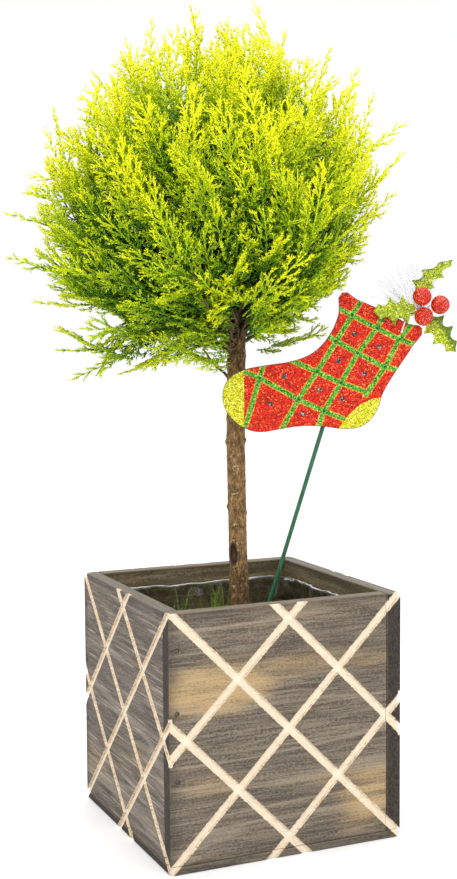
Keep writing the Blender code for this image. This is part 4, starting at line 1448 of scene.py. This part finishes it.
class TREE_OT_stocking(bpy.types.Operator):
    """Makes the glittered stocking board with its checks and gems"""

    bl_idname = "tree.stocking"
    bl_label = "Stocking board"

    def execute(self, context):
        outline, front, back = board_outline()
        step = 0.00045
        (x0, z0), (x1, z1) = outline.min(axis=0), outline.max(axis=0)
        xs, zs = np.arange(x0 - step, x1 + 2 * step, step), np.arange(z0 - step, z1 + 2 * step, step)
        grid = np.stack(np.meshgrid(xs, zs, indexing="ij"), axis=-1)
        middle = (grid[:-1, :-1] + grid[1:, 1:]) / 2
        kept = inside(middle.reshape(-1, 2), outline).reshape(middle.shape[:2])
        flat = grid.reshape(-1, 2)
        rows, columns = grid.shape[:2]
        index = np.arange(rows * columns).reshape(rows, columns)
        quads = np.stack([index[:-1, :-1], index[1:, :-1], index[1:, 1:], index[:-1, 1:]], axis=-1)[kept]
        sides = {}
        for quad in quads.tolist():
            for a, b in zip(quad, quad[1:] + quad[:1], strict=True):
                if (b, a) in sides:
                    del sides[(b, a)]
                else:
                    sides[(a, b)] = True
        rim = sorted({a for a, _ in sides})
        snapped, _ = nearest_on(flat[rim], outline, closed=True)
        flat = flat.copy()
        flat[rim] = snapped
        used = np.unique(quads)
        renumber = np.full(len(flat), -1)
        renumber[used] = np.arange(len(used))
        points = flat[used]
        rng = np.random.default_rng(3)
        rise = rng.uniform(0.0, 0.00022, len(points))
        on_rim = np.zeros(len(points), bool)
        on_rim[renumber[rim]] = True
        rise[on_rim] = 0

        line_gap = np.full(len(points), 1.0)
        for line in CHECKS:
            line_gap = np.minimum(line_gap, nearest_on(points, np.array(line) * MM)[1])
        knots = []
        for upright in CHECKS[:4]:
            for level in CHECKS[4:]:
                fine, crossing = np.array(level) * MM, np.array(upright) * MM
                run = np.concatenate([np.linspace(a, b, 60) for a, b in zip(fine, fine[1:], strict=False)])
                near, away = nearest_on(run, crossing)
                if away.min() < 0.0004:
                    knots.append(near[away.argmin()])
        knot_gap = np.min([np.hypot(*(points - knot).T) for knot in knots], axis=0)
        toe = edge_at(points[:, 1], TOE_EDGE) - points[:, 0]
        heel = points[:, 0] - edge_at(points[:, 1], HEEL_EDGE)
        heel[points[:, 1] > 0.033] = -1
        _, edge_gap = nearest_on(points, outline, closed=True)
        corners = np.column_stack([points[:, 0], front + 0.00025 - rise, points[:, 1]])
        count = len(corners)
        behind = renumber[rim]
        back_corners = np.column_stack([points[behind, 0], np.full(len(rim), back), points[behind, 1]])
        at_back = {r: count + i for i, r in enumerate(rim)}
        faces = [tuple(renumber[quad]) for quad in quads]
        follow = {}
        for a, b in sides:
            faces.append((renumber[b], renumber[a], at_back[a], at_back[b]))
            follow[a] = b
        while follow:
            start, now = follow.popitem()
            loop = [at_back[start]]
            while now != start:
                loop.append(at_back[now])
                now = follow.pop(now)
            faces.append(tuple(reversed(loop)))
        corners = np.vstack([corners, back_corners])
        numbers = {
            "line": np.concatenate([line_gap, np.ones(len(rim))]),
            "yellow": np.concatenate([np.maximum(toe, heel), -np.ones(len(rim))]),
            "edge": np.concatenate([edge_gap, np.zeros(len(rim))]),
            "knot": np.concatenate([knot_gap, np.ones(len(rim))]),
        }
        gem_from = len(faces)
        gem_corners, gem_faces = dome(0.0016, 0.0009, 8)
        for x, z in GEMS:
            base = len(corners)
            corners = np.vstack([corners, gem_corners + (x * MM, front + 0.0001, z * MM)])
            faces += [tuple(int(i) + base for i in face) for face in gem_faces]
            for key in numbers:
                numbers[key] = np.concatenate([numbers[key], np.ones(len(gem_corners))])
        mesh = mesh_of("stocking_board", in_pick(corners), faces)
        for key, values in numbers.items():
            paint(mesh, key, values)
        marks = np.zeros(len(mesh.polygons), np.int32)
        marks[gem_from:] = 1
        add_piece(
            "stocking_board_glitter", mesh, "pick", "red_glitter", ["stocking_board"],
            glitter_cloth(), gem_with_painted_glints(),
        )
        mesh.polygons.foreach_set("material_index", marks)
        return {"FINISHED"}


def glitter_cloth():
    """Red glitter with green checks edged in gold, a yellow toe and heel, and a bare dark edge."""
    chosen = settings("pick")
    material, tree = new_material("stocking_glitter")
    at = place(tree)

    def flakes(body, dark, painted_glint, often):
        return use_group(
            tree, glitter_group(), Vector=at, Flake=chosen.flake, Dark=(*dark, 1), Body=(*body, 1),
            Flash=(*painted_glint, 1), Flashing=often,
        )

    # The third colour and the share in each call are a painted glint on a few flakes.
    red = flakes(chosen.red, (0.17, 0.004, 0.002), (1.0, 0.24, 0.05), 0.07)
    green = flakes(chosen.green, (0.008, 0.07, 0.008), (0.30, 0.62, 0.10), 0.20)
    yellow = flakes(chosen.yellow, (0.26, 0.24, 0.005), (0.95, 0.93, 0.20), 0.14)
    scatter = times(tree, minus(tree, grains(tree, at, 1500, 2), 0.5), 0.0011)
    line = plus(tree, painted(tree, "line"), scatter)
    gold = times(tree, span(tree, line, 0.0021, 0.0016), 0.45)
    colour = blend(tree, gold, red["Color"], yellow["Color"])
    colour = blend(tree, span(tree, line, 0.0014, 0.0011), colour, green["Color"])
    knot = plus(tree, painted(tree, "knot"), scatter)
    colour = blend(tree, span(tree, knot, 0.0011, 0.0007, 0.0, 0.85), colour, (0.012, 0.03, 0.012, 1))
    area = plus(tree, painted(tree, "yellow"), scatter)
    colour = blend(tree, span(tree, area, -0.0002, 0.0003), colour, yellow["Color"])
    cut_edge = span(tree, painted(tree, "edge"), 0.00045, 0.0001)
    colour = blend(tree, cut_edge, colour, (0.05, 0.012, 0.01, 1))
    back = facing(tree, tuple(PICK.to_3x3() @ Vector((0, 1, 0))))
    fibres = grains(tree, stretched(tree, at, (1, 1, 0.1)), 600, 2)
    bare = ramp(tree, fibres, (0.3, (0.25, 0.15, 0.08)), (0.7, (0.42, 0.28, 0.16)))
    colour = blend(tree, span(tree, back, 0.7, 0.9), colour, bare)
    surface(tree, colour, red["Roughness"], red["Height"], 0.0003, 0.8, Specular_IOR_Level=0.22)
    return material


def gem_with_painted_glints():
    material, tree = new_material("gem")
    cells = cells_of(tree, place(tree), 1500.0)["Color"]
    light = node(tree, "ShaderNodeSeparateColor", {0: cells}).outputs[0]
    # The rare bright cells are painted glints on the gem's facets.
    colour = ramp(
        tree, light,
        (0.3, (0.006, 0.006, 0.008)), (0.75, (0.05, 0.05, 0.05)), (0.95, (0.50, 0.52, 0.50)),
    )
    surface(tree, colour, span(tree, light, 0, 1, 0.25, 0.5), Specular_IOR_Level=0.5)
    return material


class TREE_OT_stick(bpy.types.Operator):
    """Finishes the green lacquered stick"""

    bl_idname = "tree.stick"
    bl_label = "Stick"

    def execute(self, context):
        material, tree = new_material("green_lacquer")
        chosen = settings("pick")
        streak = grains(tree, stretched(tree, place(tree), (1, 1, 0.05)), 1400, 3)
        deep = tuple(c * 0.45 for c in chosen.lacquer)
        light = tuple(c * 1.7 + 0.01 for c in chosen.lacquer)
        colour = ramp(tree, streak, (0.35, deep), (0.6, chosen.lacquer), (0.85, light))
        surface(tree, colour, span(tree, streak, 0.2, 0.8, 0.5, 0.3), streak, 0.0001, 0.5)
        dress("pick_stick", material)
        return {"FINISHED"}


LEAVES = {                  # root x, root z, length, half width, bearing and curl in degrees, sweep of the tip
    "holly_leaf_up": (31.0, 95.0, 26.0, 8.8, 88, 55, -13.0),
    "holly_leaf_left": (32.0, 86.5, 25.5, 11.0, 208, 20, -3.0),
    "holly_leaf_down": (39.5, 84.0, 28.0, 10.2, -31, 30, -1.5),
}


class TREE_OT_holly(bpy.types.Operator):
    """Makes the three glittered holly leaves"""

    bl_idname = "tree.holly"
    bl_label = "Holly leaves"

    def execute(self, context):
        material = leaf_material()
        for name, (x, z, length, half, bearing, curl, sweep) in LEAVES.items():
            box = np.array([PICK_BACK @ Vector(v.co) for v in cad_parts[name].data.vertices])
            level = box[:, 1].mean()
            rows, columns = 44, 14
            turn = math.radians(bearing)
            corners, ribs, shaded = [], [], []
            for i in range(rows + 1):
                t = i / rows
                lobe = 1 - abs(math.sin(math.pi * (t * 3.3 + 0.18)))
                wide = half * 1.62 * (t + 0.02) ** 0.5 * (1.0 - t) ** 0.72 * (0.56 + 0.66 * lobe**1.2)
                wide = max(wide, 0.35)
                for j in range(-columns, columns + 1):
                    s = j / columns
                    along, aside = length * t, wide * s + sweep * t**1.8
                    cup = -0.9 * s * s * (half / 8) - 0.22 * math.cos(t * 22) * abs(s) ** 1.5
                    lift = cup - math.radians(curl) * 0.05 * length * t * t * 0.35
                    px = x + math.cos(turn) * along - math.sin(turn) * aside
                    pz = z + math.sin(turn) * along + math.cos(turn) * aside
                    corners.append((px * MM, level + lift * MM, pz * MM))
                    ribs.append(min(abs(s) * wide, abs((t * 7) % 1 - 0.5 - abs(s) * 0.4) * 3))
                    shaded.append(max(0.0, s) if name.endswith("down") else max(0.0, s * 0.5 - 0.1))
            width = 2 * columns + 1
            total = (rows + 1) * width
            corners = np.array(corners)
            corners = np.vstack([corners, corners + (0, 0.0004, 0)])
            faces = []
            for i in range(rows):
                for j in range(width - 1):
                    a = i * width + j
                    faces.append((a, a + 1, a + width + 1, a + width))
                    faces.append((total + a, total + a + width, total + a + width + 1, total + a + 1))
            border = (
                [j for j in range(width)]
                + [i * width + width - 1 for i in range(1, rows + 1)]
                + [rows * width + j for j in range(width - 2, -1, -1)]
                + [i * width for i in range(rows - 1, 0, -1)]
            )
            for a, b in zip(border, border[1:] + border[:1], strict=True):
                faces.append((b, a, total + a, total + b))
            mesh = mesh_of(name, in_pick(corners), faces, smooth=False)
            paint(mesh, "rib", ribs + ribs)
            paint(mesh, "shaded", shaded + shaded)
            add_piece(name + "_glitter", mesh, "pick", "gold_glitter", [name], material)
        return {"FINISHED"}


def leaf_material():
    chosen = settings("pick")
    material, tree = new_material("leaf_glitter")
    at = place(tree)
    # A few flakes carry a painted glint.
    flakes = use_group(
        tree, glitter_group(), Vector=at, Flake=chosen.flake, Dark=(0.10, 0.15, 0.006, 1),
        Body=(0.50, 0.58, 0.012, 1), Flash=(0.90, 0.92, 0.25, 1), Flashing=0.12,
    )
    rib = span(tree, painted(tree, "rib"), 0.35, 0.1)
    colour = blend(tree, times(tree, rib, 0.45), flakes["Color"], (0.14, 0.26, 0.01, 1))
    shadow = span(tree, grains(tree, at, 220, 2), 0.35, 0.6, 0.3, 0.0)
    colour = blend(tree, shadow, colour, (0.10, 0.22, 0.01, 1))
    turned = plus(tree, painted(tree, "shaded"), times(tree, flakes["Lightness"], -0.25))
    colour = blend(tree, span(tree, turned, 0.0, 0.35, 0.0, 0.75), colour, (0.035, 0.11, 0.008, 1))
    surface(tree, colour, flakes["Roughness"], flakes["Height"], 0.0003, 0.8, Specular_IOR_Level=0.25)
    return material


class TREE_OT_berries(bpy.types.Operator):
    """Makes the three glittered berries"""

    bl_idname = "tree.berries"
    bl_label = "Berries"

    def execute(self, context):
        chosen = settings("pick")
        material, tree = new_material("berry_glitter")
        # A few flakes carry a painted glint.
        flakes = use_group(
            tree, glitter_group(), Vector=place(tree), Flake=chosen.flake * 0.8, Dark=(0.16, 0.004, 0.003, 1),
            Body=(0.68, 0.016, 0.007, 1), Flash=(1.0, 0.32, 0.10, 1), Flashing=0.08,
        )
        surface(
            tree, flakes["Color"], flakes["Roughness"], flakes["Height"], 0.00025, 0.7,
            Specular_IOR_Level=0.3, Coat_Weight=0.12,
        )
        for name in ("berry_1", "berry_2", "berry_3"):
            corner_low, corner_high = low(name), high(name)
            middle, radius = (corner_low + corner_high) / 2, (corner_high.x - corner_low.x) / 2 - 0.00005
            work = bmesh.new()
            bmesh.ops.create_icosphere(work, subdivisions=5, radius=1)
            rng = np.random.default_rng(len(name) + ord(name[-1]))
            pole = Vector((0.35, -0.75, -0.2)).normalized()
            for vert in work.verts:
                way = vert.co.normalized()
                dimple = math.exp(-((way.angle(pole) / 0.16) ** 2))
                rough = -0.02 * rng.random() - 0.10 * dimple
                vert.co = middle + way * radius * (1 + rough)
            mesh = bpy.data.meshes.new(name)
            work.to_mesh(mesh)
            work.free()
            add_piece(name + "_glitter", mesh, "pick", "berry_glitter", [name], material)
        return {"FINISHED"}


class TREE_OT_tinsel(bpy.types.Operator):
    """Makes the burst of clear fibres behind the berries, and finishes the tie wire"""

    bl_idname = "tree.tinsel"
    bl_label = "Tinsel and tie wire"

    def execute(self, context):
        rng = np.random.default_rng(21)
        box = np.array([PICK_BACK @ Vector(v.co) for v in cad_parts["tinsel_fan"].data.vertices])
        level = box[:, 1].mean()
        heap = Heap()
        for _ in range(150):
            angle = math.radians(rng.uniform(25, 205))
            reach = 0.026 * rng.uniform(0.55, 1.0) * (1.25 if 80 < math.degrees(angle) < 170 else 0.9)
            t = np.linspace(0, 1, 8)
            sway = rng.normal(0, 0.18)
            turned = angle + sway * t
            path = np.column_stack([
                0.0355 + np.cos(turned) * reach * t,
                level + rng.uniform(-0.0004, 0.0004) + rng.normal(0, 0.0035) * t**1.6,
                0.0835 + np.sin(turned) * reach * t,
            ])
            heap.put(tube(in_pick(path), np.full(8, 0.00009), 3))
        mesh = heap.mesh("tinsel_fan", smooth=True)
        material, tree = new_material("clear_fibre")
        sheen = grains(tree, place(tree), 700, 2)
        colour = ramp(tree, sheen, (0.3, (0.80, 0.83, 0.86)), (0.7, (1.0, 1.0, 1.0)))
        surface(tree, colour, span(tree, sheen, 0, 1, 0.25, 0.1), Transmission_Weight=0.55, IOR=1.4)
        add_piece("tinsel_fan_fibres", mesh, "pick", "tinsel", ["tinsel_fan"], material)

        material, tree = new_material("tie_wire_finish")
        wear = grains(tree, place(tree), 1500, 2)
        colour = ramp(tree, wear, (0.35, (0.55, 0.55, 0.54)), (0.6, (0.90, 0.90, 0.88)))
        surface(tree, colour, span(tree, wear, 0.2, 0.8, 0.5, 0.25), wear, 0.00005, Metallic=0.35)
        dress("tie_wire", material)
        return {"FINISHED"}


class TREE_PT_panel(bpy.types.Panel):
    """Lists the tree's builders and their settings"""

    bl_label = "Tabletop Tree"
    bl_idname = "TREE_PT_panel"
    bl_space_type = "VIEW_3D"
    bl_region_type = "UI"
    bl_category = "Tabletop Tree"

    def draw(self, context):
        for name in GROUPS:
            group = settings(name)
            box = self.layout.box()
            for key in type(group).__annotations__:
                box.prop(group, key)
        for operator in OPERATORS:
            self.layout.operator(operator.bl_idname)


GROUPS = {
    "stage": StageSettings,
    "planter": PlanterSettings,
    "foliage": FoliageSettings,
    "pick": PickSettings,
}
OPERATORS = (
    TREE_OT_stage,
    TREE_OT_boards,
    TREE_OT_nails,
    TREE_OT_liner,
    TREE_OT_fill,
    TREE_OT_moss,
    TREE_OT_trunk,
    TREE_OT_foliage,
    TREE_OT_stick,
    TREE_OT_stocking,
    TREE_OT_holly,
    TREE_OT_berries,
    TREE_OT_tinsel,
)


def register():
    for group in GROUPS.values():
        bpy.utils.register_class(group)
    for name, group in GROUPS.items():
        setattr(bpy.types.Scene, "tree_" + name, PointerProperty(type=group))
    for operator in OPERATORS:
        bpy.utils.register_class(operator)
    bpy.utils.register_class(TREE_PT_panel)


def unregister():
    bpy.utils.unregister_class(TREE_PT_panel)
    for operator in reversed(OPERATORS):
        bpy.utils.unregister_class(operator)
    for name in GROUPS:
        delattr(bpy.types.Scene, "tree_" + name)
    for group in reversed(list(GROUPS.values())):
        bpy.utils.unregister_class(group)


def main():
    register()
    for operator in OPERATORS:
        area, name = operator.bl_idname.split(".")
        getattr(getattr(bpy.ops, area), name)()
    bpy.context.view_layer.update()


if __name__ == "__main__":
    main()
